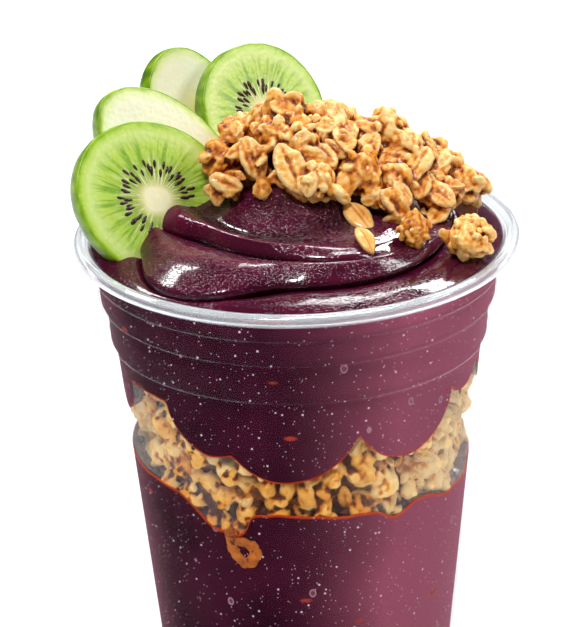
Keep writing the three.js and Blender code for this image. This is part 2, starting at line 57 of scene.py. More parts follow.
MM = 0.001
RIM = 120.0
BASE_RADIUS = 32.0
HEEL = 1.4
FLOOR = 1.0
WALL = 0.7
SIDE = [
    (3.0, 45.2), (7.5, 45.0), (8.1, 44.4), (13.5, 44.1), (14.3, 42.8), (22.7, 42.3),
    (23.9, 41.2), (RIM, BASE_RADIUS),
]  # fmt: skip
LEDGES = (7.5, 13.5, 22.7)  # depths of the steps' outer corners
LIP = [(0.4, 46.4), (1.2, 45.5), (2.4, 44.7)]
CURL = [(48.7, 2.3), (49.0, 1.5), (48.7, 0.6), (47.6, 0.0), (46.4, 0.4), (45.5, 1.2), (44.7, 2.4)]
IN_WALL = 0.15  # how far what fills the cup reaches into the plastic, so that no air shows
FAR = 9.0  # stands for a distance to the edge that is too long to count

UPPER_LEVEL = 28.0
UPPER_LOBES = [
    (-5, 24, 15), (-29, 17, 10.3), (35, 19, 12), (62, 8, 2.6), (-74, 8, 9), (96, 20, 9),
    (132, 15, 12), (166, 18, 8), (205, 22, 13), (246, 17, 10),
]  # fmt: skip
UPPER_INNER = 31.0
LOWER_LEVEL = 51.2
LOWER_SLANT = 2.0
LOWER_HOLLOWS = [
    (-29, 17, 6.2), (32, 9, 2.4), (57, 13, 2.2), (110, 18, 4.5), (158, 14, 2.5), (214, 20, 5.0),
]  # fmt: skip
LOWER_NOTCHES = [(-23.5, 6, 6.4), (70, 9, 2.6), (-128, 8, 4.0)]  # with steep sides
LOWER_INNER = 53.0

CROWN = [(17.4, 7.8), (13, 10.4), (7.5, 13.2), (0, 14.8)]
FLAP = (33.6, -2.4, 2.6, 4.6)  # a small peak of puree: across, forward, reach, height
SWIRL_ROWS = (30, 50, 64)  # in the base roll, the middle fold and the crown
# The swirl's upper fold: azimuth, then radius and height above the rim of the crease under it,
# of its crest and of the valley behind it, and 1 where it stands free or 0 where it has sunk in.
UPPER_FOLD = [
    (-150, 29.0, 3.9, 26.4, 7.1, 23.2, 7.0, 1), (-110, 30.2, 3.5, 26.8, 7.4, 23.0, 6.8, 1),
    (-80, 31.2, 3.2, 26.7, 7.9, 21.8, 6.7, 1), (-66, 28.8, 3.4, 25.2, 7.8, 20.9, 6.3, 1),
    (-56, 26.0, 3.5, 24.0, 7.6, 20.0, 6.1, 1), (-45, 25.4, 3.5, 24.0, 7.5, 19.8, 6.0, 1),
    (-33, 26.2, 3.6, 25.0, 7.4, 20.2, 5.9, 1), (-20, 27.0, 3.7, 26.0, 7.3, 20.6, 5.9, 1),
    (-6, 28.6, 3.8, 26.8, 7.2, 20.9, 5.9, 1), (5, 30.2, 3.9, 27.4, 7.1, 21.6, 6.0, 1),
    (14, 31.8, 3.9, 28.8, 6.7, 23.4, 6.2, 0.85), (24, 33.0, 4.0, 30.0, 5.9, 25.0, 6.3, 0.4),
    (36, 32.0, 4.2, 29.2, 5.3, 25.3, 6.6, 0), (62, 31.6, 4.2, 29.0, 5.3, 25.2, 6.9, 0),
    (92, 30.6, 4.6, 28.4, 6.3, 24.8, 7.2, 0.1), (124, 28.8, 4.4, 26.8, 6.9, 24.0, 7.1, 0.7),
    (165, 28.2, 4.1, 26.2, 7.0, 23.2, 7.0, 1),
]  # fmt: skip

AIR_GAPS = [(-76, 26, 3.2), (76, 22, 2.4)]
# azimuth, half width and strength of the broad stretches of the wall that get painted sheen
PAINTED_SHEEN = [(62, 72, 1.6), (-86, 36, 0.5), (-160, 50, 0.8)]
BAND_SETBACK = 2.6
# azimuth and depth along a curled oat that has sunk into the lower puree
SUNK_OAT = [
    (-25.6, 56.6), (-25.3, 59.0), (-24.2, 61.4), (-22.2, 63.4), (-19.4, 63.6), (-17.2, 62.2),
    (-17.0, 60.2), (-19.0, 58.8), (-21.6, 58.6), (-24.4, 58.8),
]  # fmt: skip

KIWI_THICKNESS = 5.0
# how strong the pale rays and the darker streaks are at shares of the way from core to rim
RAY_REACH = [(0.16, 0.0), (0.24, 0.95), (0.42, 0.9), (0.55, 0.3), (0.66, 0.0)]
STREAK_REACH = [(0.40, 0.0), (0.48, 0.9), (0.66, 0.85), (0.82, 0.1), (0.9, 0.0)]
# centre of the cut face, azimuth and elevation it looks along, half length and width, roll, cut
KIWIS = {
    "front": ((-29.8, -6, 10), 31, 28, (19.6, 17.2), -36, "across"),
    "side": ((-26.7, 6.4, 14.5), 32, 29, (20.5, 12.8), -55, "along"),
    "end": ((-21.5, 27.2, 17.2), 40, 21, (12.2, 16.8), 13, "along"),
    "back": ((-6.1, 28.4, 17.1), 38, 28, (16.8, 16.8), 0, "across"),
}

MOUND_CENTRE = (9.75, 4.0)
MOUND_HEIGHTS = [
    (-20, 13), (-12, 20.5), (-2, 24.4), (9, 23.4), (20, 21.3), (27, 16.7), (33, 12.0),
    (38, 7.6), (42, 3),
]  # fmt: skip
# Clumps of the heap: across, forward, above the rim, size, and what each is made of.
CLUMPS = [
    (-16.3, -1, 16.6, 9.0, "cluster"), (-12.9, 5, 20.2, 8.0, "cluster"),
    (-8.7, -5.5, 17.8, 9.0, "flake"), (-4.0, -1, 22.2, 8.0, "cluster"),
    (-1.7, 5.5, 23.6, 12.0, "cluster"), (-0.9, -9.5, 16.7, 10.0, "flake"),
    (1.6, -4, 21.4, 8.5, "cluster"), (4.8, -12, 15.0, 8.5, "cluster"),
    (7.2, -6, 18.2, 6.5, "flake"), (8.9, 5.5, 22.6, 10.0, "cluster"),
    (10.7, -2, 20.2, 8.5, "flake"), (14.5, -8, 15.2, 10.0, "cluster"),
    (20.1, 4.5, 20.9, 9.5, "cluster"), (23.9, 1.5, 18.0, 8.0, "cluster"),
    (16.0, -2, 18.2, 7.0, "flake"), (21.5, -1.5, 15.8, 7.0, "flake"),
    (21.7, -7, 13.3, 7.5, "cluster"), (20.1, -13, 10.1, 7.0, "flake"),
    (26.9, -2.5, 14.9, 7.5, "flake"), (26.8, -6, 10.9, 6.5, "flake"),
    (32.6, 5, 11.5, 8.5, "cluster"), (30.7, -4.5, 8.0, 8.5, "flake"),
    (37.8, 4, 7.2, 8.5, "cluster"), (-9, 11.5, 19.5, 8.0, "cluster"),
    (1, 14, 18.8, 9.0, "cluster"), (11, 13.5, 18.2, 9.0, "cluster"),
    (20, 13, 16.6, 9.0, "cluster"), (29, 11, 12.0, 8.5, "cluster"),
    (36, 10.5, 6.6, 7.0, "cluster"), (-14.6, -7.5, 13.2, 6.5, "flake"),
    (-7.0, -9.5, 12.9, 5.0, "grain"), (9.2, -13.5, 13.0, 5.5, "grain"),
    (10.5, -10.5, 13.6, 6.0, "grain"), (33.5, -1.5, 8.0, 6.5, "cluster"),
    (17.0, -11.0, 11.5, 6.0, "cluster"), (6.0, 1.0, 21.4, 8.0, "cluster"),
    (15.5, 3.5, 20.5, 8.0, "cluster"), (-6.5, 7.5, 21.5, 8.0, "cluster"),
    (27.5, 4.5, 15.5, 8.0, "cluster"),
]  # fmt: skip
LOOSE_CLUSTERS = {"large": ((36.6, -19.6), 11.6, 31, 0.66), "small": ((24.6, -20.8), 7.8, 32, 0.42)}
# across and forward, length, width, thickness, turn and forward lean in degrees
LOOSE_OATS = [
    ((13.2, -15.0), 9.8, 5.0, 2.0, -60, 30), ((14.2, -25.2), 8.2, 3.7, 2.4, -68, 26),
]  # fmt: skip

LAMP_DISTANCE = 2.0  # in metres
CAMERA_PLACE = (-2.985, -550.995, 337.546)
CAMERA_TILT = 23.34  # degrees below the horizon
CAMERA_ROLL = -1.56
LENS = 155.17
SENSOR = 36.0


def linear(hex_colour):
    """An sRGB hex colour as the linear values that Blender's colour sockets take."""
    channels = [int(hex_colour[i : i + 2], 16) / 255 for i in (1, 3, 5)]
    return tuple(
        c / 12.92 if c <= 0.04045 else ((c + 0.055) / 1.055) ** 2.4 for c in channels
    ) + (1.0,)


# ------------------------------------------------------------------------------------------
# Shape helpers. Points are numpy arrays in millimetres until a piece is made.


def lerp(a, b, t):
    return a + (b - a) * t


def swell(azimuth, centre, half_width):
    """1 at the centre of a stretch of azimuths, easing to 0 at its ends."""
    t = np.abs((azimuth - centre + 180) % 360 - 180) / half_width
    return np.where(t < 1, np.cos(np.minimum(t, 1) * np.pi / 2) ** 2, 0.0)


def lobe(azimuth, centre, half_width):
    """A round-bottomed lobe with steep flanks."""
    t = np.minimum(np.abs((azimuth - centre + 180) % 360 - 180) / half_width, 1)
    return (1 - t * t) ** 0.6


def noise(points, size, seed):
    """Smooth random numbers from -1 to 1 whose lumps are about this size."""
    p = np.asarray(points, float) / size + 31.7 * seed
    cell = np.floor(p).astype(np.int64)
    f = p - cell
    f = f * f * (3 - 2 * f)
    total = np.zeros(p.shape[:-1])
    for corner in np.ndindex(2, 2, 2):
        c = cell + corner
        h = (c[..., 0] * 73856093) ^ (c[..., 1] * 19349663) ^ (c[..., 2] * 83492791)
        h = (h ^ (seed * 2654435761)) & 0xFFFFFFFF
        h = ((h ^ (h >> 13)) * 1274126177) & 0xFFFFFFFF
        h = h ^ (h >> 16)
        weight = np.prod(np.where(corner, f, 1 - f), axis=-1)
        total += weight * (h / 2147483648.0 - 1)
    return total


def spline(points, steps):
    """Equal steps along a smooth curve through the points, without its last point."""
    last = points.shape[-2] - 1
    t = np.linspace(0, last, steps, endpoint=False)
    i = np.minimum(t.astype(int), last - 1)
    w = (t - i)[:, None]
    before, a = points[..., np.maximum(i - 1, 0), :], points[..., i, :]
    b, after = points[..., i + 1, :], points[..., np.minimum(i + 2, last), :]
    va, vb = (b - before) / 2, (after - a) / 2
    return (2 * a - 2 * b + va + vb) * w**3 + (3 * b - 3 * a - 2 * va - vb) * w**2 + va * w + a


def rounded(points, reach):
    """The same line with each inner corner cut to a small curve."""
    points = [np.array(p, float) for p in points]
    line = [points[0]]
    for a, b, c in zip(points, points[1:], points[2:]):
        before, after = a - b, c - b
        cut = min(reach, 0.45 * np.linalg.norm(before), 0.45 * np.linalg.norm(after))
        p = b + before / np.linalg.norm(before) * cut
        q = b + after / np.linalg.norm(after) * cut
        line += [lerp(lerp(p, b, t), lerp(b, q, t), t) for t in (0, 0.25, 0.5, 0.75, 1)]
    return np.array(line + [points[-1]])


def outer_radius(depth):
    return np.interp(depth, *zip(*SIDE))


INNER = LIP + [(3.4, 45.2 - 0.4 * 0.2 / 4.5 - WALL)] + [(d, r - WALL) for d, r in SIDE[1:]]


def inner_radius(depth):
    return np.interp(depth, *zip(*INNER))


def upper_edge(azimuth):
    """Depth at which the upper acai ends on the wall."""
    drops = [drop * lobe(azimuth, centre, half) for centre, half, drop in UPPER_LOBES]
    return UPPER_LEVEL + np.max(drops, axis=0)


def lower_edge(azimuth):
    """Depth at which the lower acai starts on the wall."""
    drops = [drop * swell(azimuth, centre, half) for centre, half, drop in LOWER_HOLLOWS]
    drops += [drop * lobe(azimuth, centre, half) for centre, half, drop in LOWER_NOTCHES]
    return LOWER_LEVEL + LOWER_SLANT * np.sin(np.radians(azimuth)) + np.max(drops, axis=0)


def band_setback(azimuth):
    return BAND_SETBACK + np.max([d * swell(azimuth, c, h) for c, h, d in AIR_GAPS], axis=0)


def eased(azimuth, centres, values):
    """Values given at some azimuths, read all round the cup with their corners eased."""
    shifts = (-9, -6, -3, 0, 3, 6, 9)
    return np.mean([np.interp(azimuth + s, centres, values, period=360) for s in shifts], axis=0)


def swirl_outline(azimuth, rows=SWIRL_ROWS):
    """Radius and height above the rim along the swirl, from the wall to the apex."""
    side, rise = swell(azimuth, -37, 36), swell(azimuth, 92, 62)
    centres, *columns = zip(*UPPER_FOLD)
    r2, z2, r3, z3, r4, z4, free = (eased(azimuth, centres, column) for column in columns)
    one = np.ones_like(azimuth)
    r1 = 34.5 + 8.4 * side - 3.0 * rise
    z1 = -0.4 - 1.5 * side + 1.9 * rise
    hang = 1.4 + 1.4 * rise
    roll = [
        (45.15 * one, -1.2 * one),
        (lerp(45.15, r1, 0.28), lerp(-1.2, z1, 0.3) + lerp(1.15, 0.5, rise) * (1 - 0.5 * side)),
        (lerp(45.15, r1, 0.62), lerp(-1.2, z1, 0.6) + lerp(1.3, 0.5, rise) * (1 - 0.5 * side)),
        (r1 + 0.7, z1 + 0.12),
        (r1, z1),
    ]
    middle = [
        (r1, z1),
        (r1 + 0.55 * hang, z1 + 0.55),
        (r1 + hang, z1 + 1.75),
        (r1 + hang - 1.1, z1 + 3.3 - 0.8 * rise),
        (lerp(r1, r2, 0.42), lerp(4.15, 4.85, free)),
        (lerp(r1, r2, 0.78), lerp(4.3, 4.6, free)),
        (r2, z2),
    ]
    crown = [
        (r2, z2),
        (lerp(lerp(r2, r3, 0.5), r2 + 0.25, free), lerp(lerp(z2, z3, 0.5), z2 + 1.4, free)),
        (lerp(r3, r2, lerp(0.2, 0.62, free)), z3 - lerp(0.1, 0.75, free)),
        (r3, z3),
        (lerp(r3, r4, 0.5), lerp(z3, z4, 0.62)),
        (r4, z4),
    ] + [(r * one, z * one) for r, z in CROWN]
    parts = []
    for line, steps in zip((roll, middle, crown), rows):
        control = np.stack([np.stack(p, axis=-1) for p in line], axis=-2)
        parts.append(spline(control, steps))
    return np.concatenate(parts, axis=-2)


def swirl_height(x, y):
    """Height of the swirl above the rim, along the straight way out from the axis."""
    outline = swirl_outline(np.array([math.degrees(math.atan2(x, -y))]))[0]
    radius = math.hypot(x, y)
    crossings = [
        lerp(a[1], b[1], (radius - a[0]) / (b[0] - a[0]))
        for a, b in zip(outline, outline[1:])
        if (a[0] - radius) * (b[0] - radius) <= 0 and a[0] != b[0]
    ]
    return max(crossings)


def painted_sheen_share(azimuth):
    """How much painted sheen the wall gets at an azimuth, from 0 to 1."""
    return np.minimum(1, np.max([share * swell(azimuth, c, h) for c, h, share in PAINTED_SHEEN], axis=0))


def mound_height(x, y):
    reach = np.where(np.asarray(y) < MOUND_CENTRE[1], 17.0, 15.0)
    return np.interp(x, *zip(*MOUND_HEIGHTS)) - 13.0 * ((y - MOUND_CENTRE[1]) / reach) ** 2


def around(azimuth, radius, height):
    """Points at an azimuth, radius and height."""
    angle = np.radians(azimuth)
    return np.stack([radius * np.sin(angle), -radius * np.cos(angle), height], axis=-1)


def azimuth_of(points):
    """Degrees from the front, for each point."""
    return np.degrees(np.arctan2(points[:, 0], -points[:, 1]))


def turned(azimuths, radius, height, fields=None):
    """A closed body from sections that run from the axis below to the axis above."""
    n, m = radius.shape
    ring = around(azimuths[:, None], radius[:, 1:-1], height[:, 1:-1])
    points = np.concatenate([ring.reshape(-1, 3), [[0, 0, height[0, 0]], [0, 0, height[0, -1]]]])
    i, j = np.meshgrid(np.arange(n), np.arange(m - 3), indexing="ij")
    k = (i + 1) % n
    w = m - 2
    quads = np.stack([i * w + j, k * w + j, k * w + j + 1, i * w + j + 1], axis=-1)
    low, high = n * w, n * w + 1
    fans = [(low, (a + 1) % n * w, a * w) for a in range(n)]
    fans += [(a * w + w - 1, (a + 1) % n * w + w - 1, high) for a in range(n)]
    values = {}
    for name, field in (fields or {}).items():
        inner = field[:, 1:-1].reshape(-1)
        values[name] = np.concatenate([inner, [field[0, 0], field[0, -1]]])
    return points, quads.reshape(-1, 4).tolist() + fans, values


# ------------------------------------------------------------------------------------------
# Blender helpers


def add(tree, kind, inputs=(), stops=None, **settings):
    """Adds a node with its settings, links and values. A shader node's kind goes without its
    ShaderNode. The inputs are a list in the sockets' order, or a dict by their identifier or
    name. A node among their values stands for the first of its outputs that is in use."""
    made = tree.nodes.new(kind if "Node" in kind else "ShaderNode" + kind)
    for name, value in settings.items():
        setattr(made, name, value)
    if stops:
        elements = made.color_ramp.elements
        while len(elements) < len(stops):
            elements.new(0.5)
        for element, (position, colour) in zip(elements, stops):
            element.position = position
            element.color = colour
    for key, value in inputs.items() if isinstance(inputs, dict) else enumerate(inputs):
        if isinstance(key, str):
            key = next(i for i, s in enumerate(made.inputs) if key in (s.identifier, s.name))
        socket = made.inputs[key]
        if isinstance(value, bpy.types.Node):
            value = next(output for output in value.outputs if output.enabled)
        if isinstance(value, bpy.types.NodeSocket):
            tree.links.new(value, socket)
        else:
            socket.default_value = value
    return made


def new_material(name):
    material = bpy.data.materials.new(name)
    material.use_nodes = True
    material.node_tree.nodes.clear()
    return material, material.node_tree


def mesh_from(name, points, faces, fields=None):
    """A Blender mesh in metres from points in millimetres, with its point attributes."""
    mesh = bpy.data.meshes.new(name)
    mesh.from_pydata((np.asarray(points) * MM).tolist(), [], faces)
    for field, values in (fields or {}).items():
        values = np.asarray(values, np.float32)
        kind = "FLOAT_VECTOR" if values.ndim == 2 else "FLOAT"
        layer = mesh.attributes.new(field, kind, "POINT")
        layer.data.foreach_set("vector" if values.ndim == 2 else "value", values.ravel())
    mesh.validate()
    return mesh


def link(name, mesh):
    piece = bpy.data.objects.new(name, mesh)
    bpy.context.scene.collection.objects.link(piece)
    return piece


def finish_piece(piece, materials, replaced=()):
    """Smooth faces, material, and the calls that tie the piece to the frame."""
    mesh = piece.data
    mesh.materials.clear()
    for material in materials:
        mesh.materials.append(material)
    mesh.polygons.foreach_set("use_smooth", [True] * len(mesh.polygons))
    mesh.update()
    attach(piece, "root")
    if replaced:
        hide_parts(*replaced)
    return piece


def arrays(mesh):
    """Points in millimetres, triangles, and the point attributes of a mesh."""
    points = np.empty(len(mesh.vertices) * 3, np.float32)
    mesh.vertices.foreach_get("co", points)
    mesh.calc_loop_triangles()
    triangles = np.empty(len(mesh.loop_triangles) * 3, np.int32)
    mesh.loop_triangles.foreach_get("vertices", triangles)
    fields = {}
    for layer in mesh.attributes:
        if layer.domain == "POINT" and layer.data_type == "FLOAT":
            values = np.empty(len(mesh.vertices), np.float32)
            layer.data.foreach_get("value", values)
            fields[layer.name] = values
    return points.reshape(-1, 3).astype(float) / MM, triangles.reshape(-1, 3), fields


def triangulated(points, faces):
    """The points of a shape and its faces cut into triangles."""
    mesh = mesh_from("plain", points, faces)
    plain, triangles, _ = arrays(mesh)
    bpy.data.meshes.remove(mesh)
    return plain, triangles


def grown(base, tree=None, values=None):
    """The mesh that an object's modifiers make. The object and the node tree are removed."""
    if tree:
        modifier = base.modifiers.new(tree.name, "NODES")
        modifier.node_group = tree
        for item in tree.interface.items_tree:
            if item.in_out == "INPUT" and item.name in values:
                modifier[item.identifier] = values[item.name]
    evaluated = base.evaluated_get(bpy.context.evaluated_depsgraph_get())
    mesh = bpy.data.meshes.new_from_object(evaluated)
    bpy.data.objects.remove(base)
    if tree:
        bpy.data.node_groups.remove(tree)
    return mesh


def ball(levels, radius):
    """Points and triangles of an even ball."""
    made = bmesh.new()
    bmesh.ops.create_icosphere(made, subdivisions=levels, radius=radius)
    points = np.array([v.co for v in made.verts])
    faces = [[v.index for v in face.verts] for face in made.faces]
    made.free()
    return points, faces


def joined(shapes):
    """Several (points, faces, fields) as one. A field that one lacks is 0 there."""
    names = {name for _, _, fields in shapes for name in fields}
    points, faces, start = [], [], 0
    fields = {name: [] for name in names}
    for shape_points, shape_faces, shape_fields in shapes:
        points.append(shape_points)
        if isinstance(shape_faces, np.ndarray):
            faces += (shape_faces + start).tolist()
        else:
            faces += [[v + start for v in face] for face in shape_faces]
        for name in names:
            fields[name].append(shape_fields.get(name, np.zeros(len(shape_points))))
        start += len(shape_points)
    return np.concatenate(points), faces, {n: np.concatenate(v) for n, v in fields.items()}


def normals_of(points, triangles):
    a, b, c = (points[triangles[:, k]] for k in range(3))
    face = np.cross(b - a, c - a)
    normal = np.zeros_like(points)
    for k in range(3):
        np.add.at(normal, triangles[:, k], face)
    return normal / np.maximum(np.linalg.norm(normal, axis=1, keepdims=True), 1e-12)


def smoothed(points, triangles, rounds):
    """The points, each drawn to the middle of its neighbours a number of times."""
    a = np.concatenate([triangles[:, [0, 1]], triangles[:, [1, 2]], triangles[:, [2, 0]]])
    count = np.bincount(a.ravel(), minlength=len(points))[:, None]
    for _ in range(rounds):
        total = np.stack(
            [
                np.bincount(a[:, 0], points[a[:, 1], k], len(points))
                + np.bincount(a[:, 1], points[a[:, 0], k], len(points))
                for k in range(3)
            ],
            axis=1,
        )
        points = total / np.maximum(count, 1)
    return points


def new_tree(name, result, sockets):
    """A Geometry Nodes tree with its inputs, and the outputs of its Group Input."""
    tree = bpy.data.node_groups.new(name, "GeometryNodeTree")
    tree.interface.new_socket(result, in_out="OUTPUT", socket_type="NodeSocketGeometry")
    for title, kind, default in sockets:
        kind = f"NodeSocket{kind}"
        socket = tree.interface.new_socket(title, in_out="INPUT", socket_type=kind)
        if default is not None:
            socket.default_value = default
    return tree, add(tree, "NodeGroupInput").outputs


def scatter_tree():
    """Geometry Nodes that put one of a collection's shapes on each point."""
    tree, given = new_tree("Scattered Pieces", "Pieces", [
        ("Points", "Geometry", None),
        ("Shapes", "Collection", None),
        ("Size", "Float", 1.0),
        ("Size Spread", "Float", 0.1),
        ("Tilt Spread", "Float", 0.2),
        ("Seed", "Int", 1),
        ("Finish", "Material", None),
    ])
    shapes = add(tree, "GeometryNodeCollectionInfo", {
        "Collection": given["Shapes"], "Separate Children": True, "Reset Children": True
    })
    turn = add(tree, "GeometryNodeInputNamedAttribute", {"Name": "turn"}, data_type="FLOAT_VECTOR")
    stretch = add(
        tree, "GeometryNodeInputNamedAttribute", {"Name": "stretch"}, data_type="FLOAT_VECTOR"
    )
    kind = add(tree, "GeometryNodeInputNamedAttribute", {"Name": "kind"})
    kind_number = add(tree, "FunctionNodeFloatToInt", {"Float": kind.outputs["Attribute"]})
    lean = add(tree, "FunctionNodeRandomValue", {
        "Min": (-1.0, -1.0, -1.0), "Max": (1.0, 1.0, 1.0), "Seed": given["Seed"]
    }, data_type="FLOAT_VECTOR")
    leaned = add(tree, "VectorMath", {
        "Vector": lean.outputs[0], "Scale": given["Tilt Spread"]
    }, operation="SCALE")
    rotation = add(tree, "VectorMath", [turn.outputs["Attribute"], leaned], operation="ADD")
    swelling = add(tree, "FunctionNodeRandomValue", {
        "Min_001": -1.0, "Max_001": 1.0, "Seed": given["Seed"]
    }, data_type="FLOAT")
    spread = add(
        tree, "Math", [swelling.outputs[1], given["Size Spread"], 1.0], operation="MULTIPLY_ADD"
    )
    size = add(tree, "Math", [spread, given["Size"]], operation="MULTIPLY")
    scale = add(tree, "VectorMath", {
        "Vector": stretch.outputs["Attribute"], "Scale": size
    }, operation="SCALE")
    euler = add(tree, "FunctionNodeEulerToRotation", {"Euler": rotation})
    placed = add(tree, "GeometryNodeInstanceOnPoints", {
        "Points": given["Points"],
        "Instance": shapes,
        "Pick Instance": True,
        "Instance Index": kind_number,
        "Rotation": euler,
        "Scale": scale,
    })
    real = add(tree, "GeometryNodeRealizeInstances", {"Geometry": placed})
    dressed = add(tree, "GeometryNodeSetMaterial", {"Geometry": real, "Material": given["Finish"]})
    add(tree, "NodeGroupOutput", {"Pieces": dressed})
    return tree


def scattered(spots, shapes, material, size_spread=0.1, tilt_spread=0.2, seed=1):
    """Realized copies of the shapes as (points, triangles, fields).

    Each spot is (place, turn, stretch, kind, tint), with kind an index into the shapes."""
    holder = bpy.data.collections.new("shapes")
    sources = []
    for number, (points, faces, fields) in enumerate(shapes):
        source = bpy.data.objects.new(
            f"shape_{number:03d}", mesh_from(f"shape_{number:03d}", points, faces, fields)
        )
        holder.objects.link(source)
        sources.append(source)
    places, turns, stretches, kinds, tints = zip(*spots)
    fields = {
        "turn": np.array(turns),
        "stretch": np.array(stretches),
        "kind": np.array(kinds, float),
        "tint": np.array(tints, float),
    }
    base = link("spots", mesh_from("spots", places, [], fields))
    mesh = grown(base, scatter_tree(), {
        "Shapes": holder,
        "Size": 1.0,
        "Size Spread": float(size_spread),
        "Tilt Spread": float(tilt_spread),
        "Seed": int(seed),
        "Finish": material,
    })
    result = arrays(mesh)
    if not len(result[1]):
        raise RuntimeError("the scattered pieces came out empty")
    for source in sources:
        bpy.data.objects.remove(source)
    bpy.data.collections.remove(holder)
    bpy.data.meshes.remove(mesh)
    for name in ("turn", "stretch", "kind"):
        result[2].pop(name, None)
    return result


def fused(shape, voxel):
    """The shape as one skin without inner walls, as baked clusters are, with its fields."""
    points, triangles, fields = shape
    source = link("loose", mesh_from("loose", points, triangles.tolist()))
    modifier = source.modifiers.new("Fuse", "REMESH")
    modifier.mode = "VOXEL"
    modifier.voxel_size = voxel * MM
    mesh = grown(source)
    new_points, new_triangles, _ = arrays(mesh)
    bpy.data.meshes.remove(mesh)
    nearest = KDTree(len(points))
    for index, point in enumerate(points):
        nearest.insert(point, index)
    nearest.balance()
    match = np.array([nearest.find(point)[1] for point in new_points])
    return new_points, new_triangles, {n: v[match] for n, v in fields.items()}


def hollows(points, triangles, rounds=8):
    """How far each point lies in a hollow (positive) or on a ridge (negative)."""
    normal = normals_of(points, triangles)
    return ((smoothed(points, triangles, rounds) - points) * normal).sum(axis=1)


def frame_of(normal, roll):
    """Euler angles that lay a shape's z along normal, turned about it by roll in degrees."""
    z = Vector(normal).normalized()
    across = Vector((0, 0, 1)) if abs(z.z) < 0.9 else Vector((1, 0, 0))
    x = across.cross(z).normalized()
    basis = Matrix((x, z.cross(x), z)).transposed()
    turn = basis @ Matrix.Rotation(math.radians(roll), 3, "Z")
    return tuple(turn.to_euler())


# ------------------------------------------------------------------------------------------
# Materials


def plastic_material(settings):
    """PET sheet, drawn into a cold mould: hard, clear and glossy, with faint waves left by the
    drawing. It shows as a bright edge line and soft reflections. Where it doesn't touch the
    filling, mist on the inside turns it milky. A milky haze is also painted along the outer
    corners of the steps as painted highlight lines, and in broad stretches as painted sheen."""
    material, tree = new_material("Clear thermoformed PET")
    place = add(tree, "TexCoord").outputs["Object"]
    # drawing waves are 10 to 20 mm long
    waves = add(tree, "TexNoise", {"Vector": place, "Scale": 70.0, "Detail": 1.0})
    bump = add(tree, "Bump", {"Height": waves, "Strength": 0.12, "Distance": 0.0006})
    clear = add(tree, "BsdfPrincipled", {
        "Base Color": settings.plastic_colour,
        "Roughness": 0.03,
        "IOR": 1.45,
        "Transmission Weight": 1.0,
        "Normal": bump,
    })
    mist = add(tree, "BsdfPrincipled", {"Base Color": linear("#c6cace"), "Roughness": 0.5})
    # where the filling is pressed on the sheet it wets it, and little light turns back
    wet = add(tree, "Attribute", attribute_name="wet").outputs["Fac"]
    see_through = add(tree, "BsdfTransparent", {"Color": linear("#fbfcfc")})
    wetted = add(tree, "MixShader", [wet, clear, see_through])
    haze = add(tree, "Attribute", attribute_name="haze").outputs["Fac"]
    # mist gathers in patches of about 4 mm
    patches = add(tree, "TexNoise", {"Vector": place, "Scale": 230.0, "Detail": 3.0})
    patchy = add(
        tree, "MapRange", {"Value": patches, "From Min": 0.3, "From Max": 0.7, "To Min": 0.75}
    )
    share = add(tree, "Math", [haze, patchy], operation="MULTIPLY", use_clamp=True)
    walled = add(tree, "MixShader", [share, wetted, mist])
    # lamps shine through thin clear plastic almost undimmed
    path = add(tree, "LightPath")
    through = add(tree, "BsdfTransparent", {"Color": linear("#f4f6f6")})
    lit = add(tree, "MixShader", [path.outputs["Is Shadow Ray"], walled, through])
    add(tree, "OutputMaterial", {"Surface": lit})
    return material


